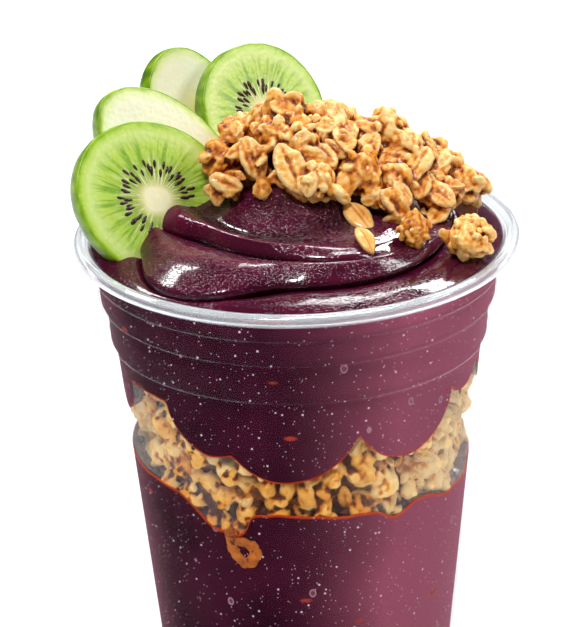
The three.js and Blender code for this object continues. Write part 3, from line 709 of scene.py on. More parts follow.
def acai_material(settings, pressed):
    """Frozen acai puree, blended and piped: dense plum flesh. In the open it melts to a wet
    gloss, and patches of fine ice grain break its highlights into sparks; its ridges carry
    painted light, and its creases and steep sides painted shade. Pressed on the plastic it has
    no gloss of its own and shows pale ice specks, flattened air bubbles with a pink rim and
    bits of fruit skin, and broad stretches of painted sheen. Its thin edge on the granola has
    an orange-red tint with a painted glow."""
    material, tree = new_material("Acai puree on plastic" if pressed else "Frozen acai puree")
    place = add(tree, "TexCoord").outputs["Object"]
    edge = add(tree, "Attribute", attribute_name="edge").outputs["Fac"]
    along = add(tree, "Attribute", attribute_name="along").outputs["Fac"]
    # streaks of less blended fruit, 8 to 20 mm
    clouds = add(tree, "TexNoise", {"Vector": place, "Scale": 75.0, "Detail": 4.0})
    cloudy = add(tree, "MapRange", {"Value": clouds, "From Min": 0.3, "From Max": 0.7})
    base = add(tree, "Mix", {
        "Factor_Float": cloudy,
        "A_Color": settings.acai_wall_dark if pressed else settings.acai_dark,
        "B_Color": settings.acai_wall if pressed else settings.acai_colour,
    }, data_type="RGBA")
    if pressed:
        # painted sheen: in broad stretches of the wall the puree is made paler and pinker
        frost = add(tree, "Attribute", attribute_name="frost").outputs["Fac"]
        base = add(tree, "Mix", {
            "Factor_Float": frost, "A_Color": base, "B_Color": settings.acai_painted_sheen
        }, data_type="RGBA")
        # Cells that may hold a mark at their middle: cells per metre, inner and outer radius of
        # the mark in cells, least random number of a cell that has one, squash, and colour.
        # Ice specks of 0.25 mm and 0.5 mm, bubbles of 2 mm with a rim, skin bits of 3 mm.
        for scale, hole, reach, least, squash, tone in (
            (1050.0, 0.0, 0.12, 0.36, 1.0, settings.ice),
            (450.0, 0.0, 0.11, 0.5, 1.0, settings.ice),
            (125.0, 0.075, 0.105, 0.42, 0.72, settings.bubble),
            (60.0, 0.0, 0.095, 0.53, 2.4, settings.skin_bit),
        ):
            squashed = add(tree, "VectorMath", [place, (1.0, 1.0, squash)], operation="MULTIPLY")
            cells = add(tree, "TexVoronoi", {"Vector": squashed, "Scale": scale})
            soft = 0.25 * (reach - hole)
            mark = add(tree, "MapRange", {
                "Value": cells,
                "From Min": reach - soft,
                "From Max": reach + soft,
                "To Min": 1.0,
                "To Max": 0.0,
            })
            if hole:
                inside = add(tree, "MapRange", {
                    "Value": cells, "From Min": hole - soft, "From Max": hole + soft, "To Min": 0.22
                })
                mark = add(tree, "Math", [mark, inside], operation="MULTIPLY")
            chosen = add(tree, "Math", [cells.outputs["Color"], least], operation="GREATER_THAN")
            shown = add(tree, "Math", [mark, chosen], operation="MULTIPLY")
            base = add(tree, "Mix", {
                "Factor_Float": shown, "A_Color": base, "B_Color": tone
            }, data_type="RGBA")
    # the thin edge against the granola, about 0.4 mm wide, and wider on the lower acai: its
    # orange-red tint with a painted glow
    line = add(tree, "MapRange", {
        "Value": edge, "From Min": 0.1, "From Max": 0.5, "To Min": 1.0, "To Max": 0.0
    })
    with_painted_glow = add(tree, "Mix", {
        "Factor_Float": line, "A_Color": base, "B_Color": settings.acai_edge_tint_and_painted_glow
    }, data_type="RGBA")
    finish = {"Base Color": with_painted_glow, "Roughness": 0.5, "IOR": 1.45, "Specular IOR Level": 0.0}
    if not pressed:
        # ice grains of 0.3 to 0.6 mm that stand out of the melt, closer together in patches
        parts = add(tree, "SeparateXYZ", {"Vector": place})
        up_fold = add(tree, "Math", [along, 0.0013], operation="MULTIPLY")
        stretched = add(
            tree, "CombineXYZ", {"X": parts.outputs["X"], "Y": parts.outputs["Y"], "Z": up_fold}
        )
        grain = add(tree, "TexNoise", {
            "Vector": stretched, "Scale": 1700.0, "Detail": 1.0, "Roughness": 0.5
        })
        standing = add(tree, "MapRange", {
            "Value": grain, "From Min": 0.5, "From Max": 0.7
        }, interpolation_type="SMOOTHSTEP")
        icy = add(tree, "Attribute", attribute_name="grain").outputs["Fac"]
        patches = add(tree, "TexNoise", {"Vector": place, "Scale": 90.0, "Detail": 2.0})
        patchy = add(
            tree, "MapRange", {"Value": patches, "From Min": 0.4, "From Max": 0.56, "To Min": 0.4}
        )
        rough_here = add(tree, "MapRange", {"Value": icy, "To Min": 0.0, "To Max": patchy})
        grained = add(tree, "Math", [standing, rough_here], operation="MULTIPLY")
        bump = add(tree, "Bump", {"Height": grained, "Strength": 0.8, "Distance": 0.0002})
        tone = add(tree, "Mix", {
            "Factor_Float": grained, "A_Color": with_painted_glow, "B_Color": settings.acai_grain
        }, data_type="RGBA")
        # painted light and shade: the ridges of the folds are made lighter, and the creases and
        # steep sides darker
        hollow = add(tree, "Attribute", attribute_name="hollow").outputs["Fac"]
        for far, share, colour in (
            (-0.9, 0.45, settings.acai_ridge_painted_light), (0.36, 0.85, settings.acai_crease_painted_shade)
        ):
            amount = add(tree, "MapRange", {
                "Value": hollow, "From Min": 0.0, "From Max": far, "To Max": share
            })
            tone = add(tree, "Mix", {
                "Factor_Float": amount, "A_Color": tone, "B_Color": colour
            }, data_type="RGBA")
        # the left end of the folds is still frozen dry and shines less
        shine = add(tree, "Attribute", attribute_name="shine").outputs["Fac"]
        finish |= {
            "Base Color": tone, "Roughness": 0.09, "Specular IOR Level": shine, "Normal": bump
        }
    skin = add(tree, "BsdfPrincipled", finish)
    add(tree, "OutputMaterial", {"Surface": skin})
    return material


def granola_material(settings, pressed=False):
    """Oats and puffed grain baked in syrup: matt cream flakes under a thin amber glaze that
    gathers in the hollows, where it is darkest and shiniest; the darkening of the hollows and
    of the gaps between clumps is partly painted shade. Pressed on the plastic it has almost no
    gloss of its own, and the gaps between its pieces get more painted shade."""
    material, tree = new_material("Granola on plastic" if pressed else "Baked honey granola")
    place = add(tree, "TexCoord").outputs["Object"]
    tint = add(tree, "Attribute", attribute_name="tint").outputs["Fac"]
    hollow = add(tree, "Attribute", attribute_name="hollow").outputs["Fac"]
    rim = add(tree, "Attribute", attribute_name="rim").outputs["Fac"]
    # toasting varies over 2 to 3 mm, bran flecks are 0.4 mm
    toast = add(tree, "TexNoise", {"Vector": place, "Scale": 420.0, "Detail": 4.0})
    bran = add(
        tree, "TexNoise", {"Vector": place, "Scale": 1900.0, "Detail": 3.0, "Roughness": 0.7}
    )
    # hollows darken the colour, for the glaze there and as painted shade
    lightness = add(
        tree, "Math", [hollow, -2.8 if pressed else -2.0, tint], operation="MULTIPLY_ADD"
    )
    toasted = add(tree, "Math", [toast, 0.7, lightness], operation="MULTIPLY_ADD")
    flecked = add(tree, "Math", [bran, 0.22, toasted], operation="MULTIPLY_ADD")
    level = add(tree, "Math", [flecked, 0.46], operation="SUBTRACT")
    colour = add(tree, "ValToRGB", [level], stops=[
        (0.0, settings.glaze_dark_and_shade),
        (0.22, settings.glaze),
        (0.45, settings.toasted),
        (0.68, settings.cream),
        (1.0, linear("#fcd48c")),
    ])
    edged = add(tree, "Mix", {
        "Factor_Float": rim, "A_Color": colour, "B_Color": settings.glaze
    }, data_type="RGBA")
    bump = add(tree, "Bump", {"Height": bran, "Strength": 0.45, "Distance": 0.0005})
    gloss = add(tree, "MapRange", {
        "Value": level, "From Min": 0.1, "From Max": 0.7, "To Min": 0.28, "To Max": 0.5
    })
    skin = add(tree, "BsdfPrincipled", {
        "Base Color": edged,
        "Roughness": gloss,
        "IOR": 1.45,
        "Specular IOR Level": 0.15 if pressed else 0.35,
        "Coat Weight": 0.0 if pressed else 0.3,
        "Coat Roughness": 0.12,
        "Normal": bump,
    })
    add(tree, "OutputMaterial", {"Surface": skin})
    return material


def kiwi_flesh_material(settings, cut):
    """Ripe kiwi flesh, cut with a knife: wet, faintly clear and soft. Cut across, pale rays run
    out from a cream core between the seeds; cut along near the side, it is almost all pale."""
    material, tree = new_material(f"Kiwi flesh cut {cut}")
    place = add(tree, "TexCoord").outputs["Object"]
    slice_place = add(tree, "Attribute", attribute_name="slice").outputs["Vector"]
    parts = add(tree, "SeparateXYZ", {"Vector": slice_place})
    flat = add(tree, "CombineXYZ", {"X": parts.outputs["X"], "Y": parts.outputs["Y"]})
    radius = add(tree, "VectorMath", [flat], operation="LENGTH")
    way = add(tree, "VectorMath", [flat], operation="NORMALIZE")
    wobble = add(tree, "TexNoise", {"Vector": place, "Scale": 260.0, "Detail": 3.0})
    uneven = add(tree, "Math", [wobble, 0.09, radius], operation="MULTIPLY_ADD")
    level = add(tree, "Math", [uneven, 0.045], operation="SUBTRACT")
    if cut == "across":
        stops = [
            (0.0, settings.core),
            (0.15, settings.core),
            (0.20, linear("#d9da92")),
            (0.26, linear("#aeba5c")),
            (0.33, settings.inner_flesh),
            (0.50, linear("#abcb4a")),
            (0.66, settings.flesh),
            (0.86, linear("#d0e488")),
            (0.93, linear("#bcd858")),
            (0.965, linear("#94bc2c")),
            (0.995, linear("#5c8c10")),
        ]
    else:
        stops = [
            (0.0, linear("#f6e682")),
            (0.22, linear("#faefb4")),
            (0.5, linear("#fdf8da")),
            (0.82, linear("#f8f8da")),
            (0.92, linear("#e4eeaa")),
            (0.97, linear("#a3bf4c")),
            (0.99, linear("#6f9a1f")),
        ]
    base = add(tree, "ValToRGB", [level], stops=stops)
    if cut == "across":
        # direction from the core, drifting a little with the distance, drives both kinds of ray
        drift = add(tree, "VectorMath", [flat, (0.2, 0.2, 0.2), way], operation="MULTIPLY_ADD")
        # pale rays every 1 to 2 mm from the core to past the seeds, then darker streaks
        for scale, least, most, reach, tone in (
            (13.0, 0.52, 0.64, RAY_REACH, settings.ray),
            (9.0, 0.48, 0.6, STREAK_REACH, settings.streak),
        ):
            lines = add(
                tree, "TexNoise", {"Vector": drift, "Scale": scale, "Detail": 2.0, "Roughness": 0.6}
            )
            sharp = add(tree, "MapRange", {"Value": lines, "From Min": least, "From Max": most})
            greys = [(position, (v, v, v, 1.0)) for position, v in reach]
            extent = add(tree, "ValToRGB", [level], stops=greys)
            shown = add(tree, "Math", [sharp, extent], operation="MULTIPLY")
            base = add(tree, "Mix", {
                "Factor_Float": shown, "A_Color": base, "B_Color": tone
            }, data_type="RGBA")
    # painted glints: pale specks of 0.3 mm where the cut cells catch the light
    cells = add(tree, "TexVoronoi", {"Vector": place, "Scale": 900.0})
    painted_glints = add(tree, "MapRange", {
        "Value": cells, "From Min": 0.1, "From Max": 0.3, "To Min": 0.2, "To Max": 0.0
    })
    with_painted_glints = add(tree, "Mix", {
        "Factor_Float": painted_glints, "A_Color": base, "B_Color": linear("#eef4c8")
    }, data_type="RGBA")
    bump = add(tree, "Bump", {"Height": cells, "Strength": 0.12, "Distance": 0.0003})
    skin = add(tree, "BsdfPrincipled", {
        "Base Color": with_painted_glints,
        "Roughness": 0.28,
        "IOR": 1.38,
        "Subsurface Weight": 0.25,
        "Subsurface Radius": (1.0, 1.0, 0.4),
        "Subsurface Scale": 0.0025,
        "Normal": bump,
    })
    add(tree, "OutputMaterial", {"Surface": skin})
    return material


def kiwi_rim_material(settings):
    """The flesh just under a kiwi's skin after peeling: smooth, wet and vivid green, with
    faint lengthwise streaks and a few dark specks where skin is left."""
    material, tree = new_material("Peeled kiwi rind flesh")
    place = add(tree, "TexCoord").outputs["Object"]
    slice_place = add(tree, "Attribute", attribute_name="slice").outputs["Vector"]
    parts = add(tree, "SeparateXYZ", {"Vector": slice_place})
    streaks = add(tree, "TexNoise", {"Vector": place, "Scale": 320.0, "Detail": 4.0})
    sunk = add(tree, "Math", [parts.outputs["Z"], 0.35, streaks], operation="MULTIPLY_ADD")
    greens = [(0.1, linear("#3c650c")), (0.35, settings.rind), (0.62, linear("#94b52c"))]
    colour = add(tree, "ValToRGB", [sunk], stops=greens)
    cells = add(tree, "TexVoronoi", {"Vector": place, "Scale": 520.0})
    dark = add(tree, "MapRange", {
        "Value": cells, "From Min": 0.06, "From Max": 0.12, "To Min": 0.6, "To Max": 0.0
    })
    flecked = add(tree, "Mix", {
        "Factor_Float": dark, "A_Color": colour, "B_Color": linear("#2f4a12")
    }, data_type="RGBA")
    bump = add(tree, "Bump", {"Height": streaks, "Strength": 0.2, "Distance": 0.0005})
    skin = add(tree, "BsdfPrincipled", {
        "Base Color": flecked,
        "Roughness": 0.3,
        "IOR": 1.38,
        "Subsurface Weight": 0.15,
        "Subsurface Radius": (1.0, 1.0, 0.4),
        "Subsurface Scale": 0.002,
        "Normal": bump,
    })
    add(tree, "OutputMaterial", {"Surface": skin})
    return material


def seed_material(settings):
    """Kiwi seeds: small, hard and almost black, with a wet skin."""
    material, tree = new_material("Kiwi seed coat")
    place = add(tree, "TexCoord").outputs["Object"]
    tone = add(tree, "TexNoise", {"Vector": place, "Scale": 500.0, "Detail": 2.0})
    colour = add(tree, "Mix", {
        "Factor_Float": tone, "A_Color": settings.seed_colour, "B_Color": linear("#4a2a1c")
    }, data_type="RGBA")
    skin = add(tree, "BsdfPrincipled", {"Base Color": colour, "Roughness": 0.25, "IOR": 1.45})
    add(tree, "OutputMaterial", {"Surface": skin})
    return material


# ------------------------------------------------------------------------------------------
# Cup


def turning_tree():
    """Geometry Nodes that turn a profile round the axis and close it where it meets the axis."""
    tree, given = new_tree("Turned Profile", "Body", [
        ("Profile", "Geometry", None),
        ("Axis Distance", "Float", 0.02),
        ("Steps", "Int", 288),
        ("Finish", "Material", None),
    ])
    profile = add(tree, "GeometryNodeMeshToCurve", {"Mesh": given["Profile"]})
    ring = add(tree, "GeometryNodeCurvePrimitiveCircle", {
        "Resolution": given["Steps"], "Radius": given["Axis Distance"]
    })
    body = add(tree, "GeometryNodeCurveToMesh", {"Curve": ring, "Profile Curve": profile})
    closed = add(tree, "GeometryNodeMergeByDistance", {"Geometry": body, "Distance": 1e-6})
    real = add(tree, "GeometryNodeRealizeInstances", {"Geometry": closed})
    dressed = add(tree, "GeometryNodeSetMaterial", {"Geometry": real, "Material": given["Finish"]})
    add(tree, "NodeGroupOutput", {"Body": dressed})
    return tree


def cup_profile(wall):
    """Radius and height round the cup's sheet, from the axis below to the axis inside."""
    outside = [(0, 0), (BASE_RADIUS - HEEL, 0), (float(outer_radius(RIM - HEEL)), HEEL)]
    outside += [(r, RIM - d) for d, r in SIDE[:-1][::-1]]
    under_curl = [
        (45.35, RIM - 2.3), (46.0, RIM - 1.25), (47.3, RIM - 0.7), (48.2, RIM - 1.0),
        (48.35, RIM - 1.7), (47.7, RIM - 2.5), (47.4, RIM - 2.75), (47.9, RIM - 3.0),
    ]  # fmt: skip
    curl = [(r, RIM - d) for r, d in CURL]
    inside = [(r - wall + WALL, RIM - d) for d, r in INNER[3:-1]]
    floor = [
        (float(inner_radius(RIM - 3.0)), 3.0),
        (float(inner_radius(RIM - FLOOR)) - HEEL, FLOOR),
        (0, FLOOR),
    ]
    return np.concatenate(
        [rounded(outside + under_curl, 0.35), rounded(curl + inside + floor, 0.35)]
    )


def build_cup(settings):
    material = plastic_material(settings)
    profile = cup_profile(settings.wall / MM)
    axis = 20.0  # how far the profile lies off the axis it is turned about
    flat = [(r - axis, -z, 0) for r, z in profile]
    edges = [(i, i + 1) for i in range(len(flat) - 1)]
    mesh = bpy.data.meshes.new("cup_profile")
    mesh.from_pydata((np.array(flat) * MM).tolist(), edges, [])
    base = link("cup_profile", mesh)
    values = {"Axis Distance": axis * MM, "Steps": settings.turn_steps, "Finish": material}
    body = grown(base, turning_tree(), values)
    piece = link("clear_cup", body)
    shell = bmesh.new()
    shell.from_mesh(body)
    bmesh.ops.remove_doubles(shell, verts=shell.verts, dist=1e-6)
    bmesh.ops.recalc_face_normals(shell, faces=shell.faces)
    shell.to_mesh(body)
    shell.free()
    points, _, _ = arrays(body)
    radius = np.hypot(points[:, 0], points[:, 1])
    depth = RIM - points[:, 2]
    azimuth = azimuth_of(points)
    gap = np.max([swell(azimuth, c, h + 14) for c, h, _ in AIR_GAPS], axis=0)
    free = (
        np.clip((depth - upper_edge(azimuth) + 1) / 2, 0, 1)
        * np.clip((lower_edge(azimuth) - depth + 1) / 2, 0, 1)
        * (radius < outer_radius(depth) - 0.35)
    )
    bead = np.clip((3.2 - depth) / 0.8, 0, 1)
    # painted sheen: a milky haze on the wall, in broad stretches
    frost = settings.frost * painted_sheen_share(azimuth) * np.clip((depth - 3.0) / 4, 0, 1)
    # painted highlights: a milky haze along the outer corners of the steps, where they catch the
    # light as thin lines
    corners = np.max([np.exp(-(((depth - d) / 0.22) ** 2)) for d in LEDGES], axis=0)
    sides = 1 - 0.85 * swell(azimuth, 4, 46)
    ledge_highlight = 0.22 * sides * corners * (radius > outer_radius(depth) - 0.3)
    ledge_highlight *= 0.6 + 0.6 * noise(points, 1.6, 21)
    # the haze holds the mist, the whitened rim, the painted sheen and the painted highlight lines
    haze = np.maximum.reduce([settings.mist * gap * free, settings.rim_haze * bead, frost, ledge_highlight])
    wet = settings.wetting * (1 - bead) * (1 - 0.8 * gap * free) * (1 - 0.5 * sides * corners)
    for name, values in (("haze", haze), ("wet", wet)):
        layer = body.attributes.new(name, "FLOAT", "POINT")
        layer.data.foreach_set("value", values.astype(np.float32))
    finish_piece(piece, [material], ["cup"])


# ------------------------------------------------------------------------------------------
# Acai


def upper_acai():
    """The upper acai with its lobes down the wall and the swirl on top."""
    azimuths = np.arange(360) * 1.0
    column, count = azimuths[:, None], len(azimuths)
    edge = upper_edge(azimuths)
    wobble = noise(around(azimuths, 40.0, 0 * azimuths), 3.5, 3)
    edge = edge + 0.25 * wobble
    radius, height, wall, near = [], [], [], []
    # underside, from the axis out to the edge, drawn down to the wall in a curtain
    insets = np.array([40, 12, 9, 6, 4, 2.5, 1.4, 0.7, 0.3, 0.1])
    edge_radius = inner_radius(edge) + IN_WALL
    levels = np.interp(insets, [0, 0.3, 1.8, 6, 12], [0, 1, 2, 3, 4])
    depths = np.stack(
        [
            edge - 0.9,
            edge - 0.35,
            lerp(UPPER_INNER, edge, 0.93) - 0.3,
            lerp(UPPER_INNER, edge, 0.35),
            np.full_like(edge, UPPER_INNER),
        ],
        axis=-1,
    )
    low = np.floor(levels).astype(int)
    high = np.minimum(low + 1, 4)
    below = depths[:, low] * (1 - (levels - low)) + depths[:, high] * (levels - low)
    inset = insets[None, :]
    under_radius = np.maximum(edge_radius[:, None] - inset, 0)
    under_radius[:, 0] = 0
    below = np.where(inset < 0.9, edge[:, None] - 0.35 * np.minimum(inset, 0.9) ** 0.5, below)
    radius.append(under_radius)
    height.append(RIM - below)
    wall.append(np.zeros_like(below))
    near.append(np.where(inset < 1.5, inset, FAR) + 0 * below)
    # up the wall, with a row on every corner of its steps
    share = np.linspace(0, 1, 44)
    corners = [depth for depth, _ in INNER[-2:1:-1]]
    low_rows = lerp(edge[:, None], corners[0], share[None, :] ** 1.15)
    steps = []
    for a, b in zip(corners, corners[1:]):
        steps += list(np.linspace(a, b, 5 if abs(a - b) > 2 else 3)[1:])
    side_depth = np.concatenate([low_rows, np.tile(steps, (count, 1))], axis=1)
    radius.append(inner_radius(side_depth) + IN_WALL)
    height.append(RIM - side_depth)
    wall.append(np.ones_like(side_depth))
    # the rim presses the puree thin at the front of the mouth, and the orange-red edge tone with
    # its painted glow is used there too
    thin = 1.2 * np.maximum(side_depth - 3.2, 0) + 3 * (1 - swell(column, -8, 40))
    near.append(np.minimum(np.abs(edge[:, None] - side_depth), thin))
    # the swirl
    outline = swirl_outline(azimuths)
    # melted smooth on the upper fold and on the right of the other folds, icy elsewhere
    right = swell(column, 48, 52)
    left_right = ((0.22, 0.18), (0.6, 0.3), (0.2, 0.12), (1, 0.8))
    melted = [lerp(a, b, right) for a, b in left_right]
    spans = (SWIRL_ROWS[0], SWIRL_ROWS[1], SWIRL_ROWS[2] * 4 // 10, SWIRL_ROWS[2] * 6 // 10 + 1)
    grain = np.concatenate([np.tile(m, (1, n)) for m, n in zip(melted, spans)], axis=1)
    grain = grain[:, : outline.shape[1]]
    radius.append(outline[..., 0])
    height.append(RIM + outline[..., 1])
    wall.append(np.zeros(outline.shape[:2]))
    near.append(np.full(outline.shape[:2], FAR))
    radius.append(np.zeros((count, 1)))
    height.append(np.full((count, 1), RIM + CROWN[-1][1]))
    wall.append(np.zeros((count, 1)))
    near.append(np.full((count, 1), FAR))
    radius, height = np.concatenate(radius, 1), np.concatenate(height, 1)
    wall, near = np.concatenate(wall, 1), np.concatenate(near, 1)
    under = np.ones((count, radius.shape[1] - grain.shape[1] - 1))
    grain = np.concatenate([under, grain, np.ones((count, 1))], axis=1)
    step = np.hypot(np.diff(radius, axis=1), np.diff(height, axis=1))
    along = np.concatenate([np.zeros((count, 1)), np.cumsum(step, axis=1)], axis=1)
    along = along - along[:, -1:]
    points, faces, fields = turned(
        azimuths, radius, height, {"wall": wall, "edge": near, "along": along, "grain": grain}
    )
    open_top = points[:, 2] > RIM - 1.0
    normal = normals_of(*triangulated(points, faces))
    rise = 0.28 * noise(points, 9.0, 1) + 0.1 * noise(points, 3.4, 2)
    flap_x, flap_y, reach, peak = FLAP
    away = np.hypot(points[:, 0] - flap_x, points[:, 1] - flap_y) / reach
    fade = np.clip((45.5 - np.hypot(points[:, 0], points[:, 1])) / 4, 0, 1)
    points = points + normal * (rise * open_top * fade)[:, None]
    points[:, 2] += open_top * peak * np.exp(-(away**2))
    return points, faces, fields


def lower_acai():
    """The lower acai, from the cup's floor up to the edge that shows."""
    azimuths = np.arange(360) * 1.0
    edge = lower_edge(azimuths) + 0.3 * noise(around(azimuths, 40.0, 0 * azimuths), 3.0, 7)
    bottom = RIM - FLOOR - 0.3
    count = len(azimuths)
    radius = [np.tile([0.0, 20.0, 29.6], (count, 1))]
    depth = [np.full((count, 3), bottom)]
    share = np.linspace(0, 1, 80)
    rows = lerp(bottom - 2.5, edge[:, None], share[None, :])
    radius.append(inner_radius(rows) + IN_WALL)
    depth.append(rows)
    wall = [np.zeros((count, 3)), np.ones_like(rows)]
    near = [np.full((count, 3), FAR), rows - edge[:, None]]
    insets = np.array([0.1, 0.4, 0.9, 1.8, 3.0, 4.5, 6.0, 9.0, 12.0])
    top = lerp(LOWER_INNER, edge[:, None], np.interp(insets, [0, 6, 12], [1, 0.3, 0])[None, :])
    top = top + 0.3 * np.minimum(insets, 1.0)[None, :]
    edge_radius = (inner_radius(edge) + IN_WALL)[:, None]
    radius.append(edge_radius - insets[None, :])
    depth.append(top)
    wall.append(np.zeros_like(top))
    near.append(np.where(insets < 1.5, insets, FAR)[None, :] + 0 * top)
    radius.append(np.zeros((count, 1)))
    depth.append(np.full((count, 1), LOWER_INNER))
    wall.append(np.zeros((count, 1)))
    near.append(np.full((count, 1), FAR))
    radius, height = np.concatenate(radius, 1), RIM - np.concatenate(depth, 1)
    fields = {"wall": np.concatenate(wall, 1), "edge": 0.6 * np.concatenate(near, 1)}
    fields["along"] = RIM - height
    fields["grain"] = np.ones_like(height)
    return turned(azimuths, radius, height, fields)


def build_acai(settings):
    materials = [acai_material(settings, pressed) for pressed in (False, True)]
    for name, (points, faces, fields), node in (
        ("acai_swirl", upper_acai(), "acai_upper"), ("acai_base", lower_acai(), "acai_lower")
    ):
        wall = fields.pop("wall")
        azimuth = azimuth_of(points)
        # where the wall gets its painted sheen, in patches
        patchy = 1 + 0.25 * noise(points, 14.0, 11)
        fields["frost"] = np.clip(painted_sheen_share(azimuth) * patchy, 0, 1)
        roll = np.clip((np.hypot(points[:, 0], points[:, 1]) - 34) / 2, 0, 1)
        fields["shine"] = (
            0.85 - 0.7 * swell(azimuth, -80, 52) - 0.4 * roll * swell(azimuth, -22, 58)
        )
        # hollow is below 0 on ridges, which get painted light, and above it in creases and on steep
        # sides, which get painted shade
        plain, triangles = triangulated(points, faces)
        steep_shade = np.clip(1 - normals_of(plain, triangles)[:, 2] / 0.7, 0, 1)
        fields["hollow"] = np.clip(hollows(plain, triangles, 24), roll - 1, 1) + 0.2 * steep_shade
        piece = link(name, mesh_from(name, points, faces, fields))
        finish_piece(piece, materials, [node])
        pressed = [int(min(wall[v] for v in face) > 0.5) for face in faces]
        piece.data.polygons.foreach_set("material_index", pressed)


# ------------------------------------------------------------------------------------------
# Kiwi


def slice_matrix(at, azimuth, elevation):
    turn = Euler((math.radians(90 - elevation), 0, math.radians(azimuth)), "XYZ").to_matrix()
    return np.array(turn), np.array(at, float) + (0, 0, RIM)


def kiwi_slice(name, at, azimuth, elevation, half, roll):
    """A slice with its two cut faces and its rim, and where each point lies in it."""
    seed = 40 + sorted(KIWIS).index(name)
    length, width = half
    turns = np.arange(0, 360, 2.5)
    ring = np.stack([np.cos(np.radians(turns)), np.sin(np.radians(turns)), 0 * turns], axis=-1)
    dents = 0.012 * (noise(ring * 3, 1.4, seed) + 1) + 0.004 * (noise(ring * 9, 1.0, seed) + 1)
    # share of the radius and inset from it, and height under the cut face
    face_rows = 26
    rows = [(share, 0.45, 0.0) for share in np.linspace(0, 1, face_rows)]
    rows += [(1, 0.2, -0.08), (1, 0.06, -0.3), (1, 0.0, -0.8), (1, 0.0, -1.8), (1, 0.05, -2.8)]
    rows += [(1, 0.25, -3.8), (1, 0.6, -4.6), (1, 1.1, -5.0), (0.9, 1.1, -5.0), (0.5, 1, -5.0)]
    rows += [(0, 1, -5.0)]
    x, y, z, share_x, share_y = [], [], [], [], []
    for share, inset, height in rows:
        reach = share * (1 - dents)
        x.append(reach * (length - inset) * ring[:, 0])
        y.append(reach * (width - inset) * ring[:, 1])
        z.append(np.full(len(turns), height))
        share_x.append(share * (length - inset) / length * ring[:, 0])
        share_y.append(share * (width - inset) / width * ring[:, 1])
    x, y, z = np.array(x), np.array(y), np.array(z)
    relief = noise(np.stack([x, y, 0 * x], axis=-1), 7.0, seed) * 0.08
    z[:face_rows] += np.minimum(relief[:face_rows], 0) * (np.hypot(x, y)[:face_rows] > 0.01)
    a = math.radians(roll)
    px, py = x * math.cos(a) - y * math.sin(a), x * math.sin(a) + y * math.cos(a)
    m, n = x.shape
    local = np.stack([px, py, z], axis=-1)
    inner = local[1:-1].reshape(-1, 3)
    points = np.concatenate([inner, local[:1, 0], local[-1:, 0]])
    shares = np.stack([np.array(share_x), np.array(share_y), z / KIWI_THICKNESS], axis=-1)
    shares = np.concatenate([shares[1:-1].reshape(-1, 3), shares[:1, 0], shares[-1:, 0]])
    faces, kinds = [], []
    rows_inside = m - 2
    for j in range(rows_inside - 1):
        for i in range(n):
            k = (i + 1) % n
            faces.append((j * n + i, (j + 1) * n + i, (j + 1) * n + k, j * n + k))
            kinds.append(int(face_rows - 2 <= j < m - 5))
    top, base = rows_inside * n, rows_inside * n + 1
    for i in range(n):
        k = (i + 1) % n
        faces.append((top, i, k))
        kinds.append(0)
        faces.append((base, (rows_inside - 1) * n + k, (rows_inside - 1) * n + i))
        kinds.append(0)
    turn, place = slice_matrix(at, azimuth, elevation)
    return points @ turn.T + place, faces, {"slice": shares}, kinds


def seed_shape():
    """A teardrop of unit length, its point towards +X."""
    points, faces = [], []
    rows = [(-0.5, 0), (-0.4, 0.14), (-0.2, 0.2), (0.05, 0.17), (0.3, 0.09), (0.5, 0)]
    around_count = 8
    for x, r in rows[1:-1]:
        for k in range(around_count):
            angle = 2 * math.pi * k / around_count
            points.append((x, r * math.cos(angle), 0.7 * r * math.sin(angle)))
    points += [(-0.5, 0, 0), (0.5, 0, 0)]
    count = len(rows) - 2
    for j in range(count - 1):
        for k in range(around_count):
            q = (k + 1) % around_count
            a, b = j * around_count, (j + 1) * around_count
            faces.append((a + k, a + q, b + q, b + k))
    first, last = len(points) - 2, len(points) - 1
    for k in range(around_count):
        q = (k + 1) % around_count
        faces.append((first, q, k))
        end = (count - 1) * around_count
        faces.append((last, end + k, end + q))
    return np.array(points), faces, {}


def seed_spots(name, at, azimuth, elevation, half, roll, count):
    rng = np.random.default_rng(70 + sorted(KIWIS).index(name))
    turn, place = slice_matrix(at, azimuth, elevation)
    spots = []
    for ring_share, offset, ring_count in (
        (0.43, 0.0, count), (0.34, 0.5, count - 5), (0.385, 0.25, count // 2)
    ):
        for k in range(ring_count):
            angle = 2 * math.pi * (k + offset + rng.uniform(-0.28, 0.28)) / ring_count
            share = ring_share + rng.uniform(-0.03, 0.03)
            x, y = share * half[0] * math.cos(angle), share * half[1] * math.sin(angle)
            a = math.radians(roll)
            local = np.array(
                [x * math.cos(a) - y * math.sin(a), x * math.sin(a) + y * math.cos(a), -0.12]
            )
            behind = local - (0, 0, KIWI_THICKNESS - 0.24)
            inward = math.atan2(-local[1], -local[0]) + rng.uniform(-0.12, 0.12)
            basis = Matrix(turn.tolist()) @ Matrix.Rotation(inward, 3, "Z")
            size = rng.uniform(2.1, 2.8)
            stretch = (size, size * rng.uniform(0.8, 1.0), size)
            for where in (local, behind):
                spots.append((turn @ where + place, tuple(basis.to_euler()), stretch, 0, 0.5))
    return spots


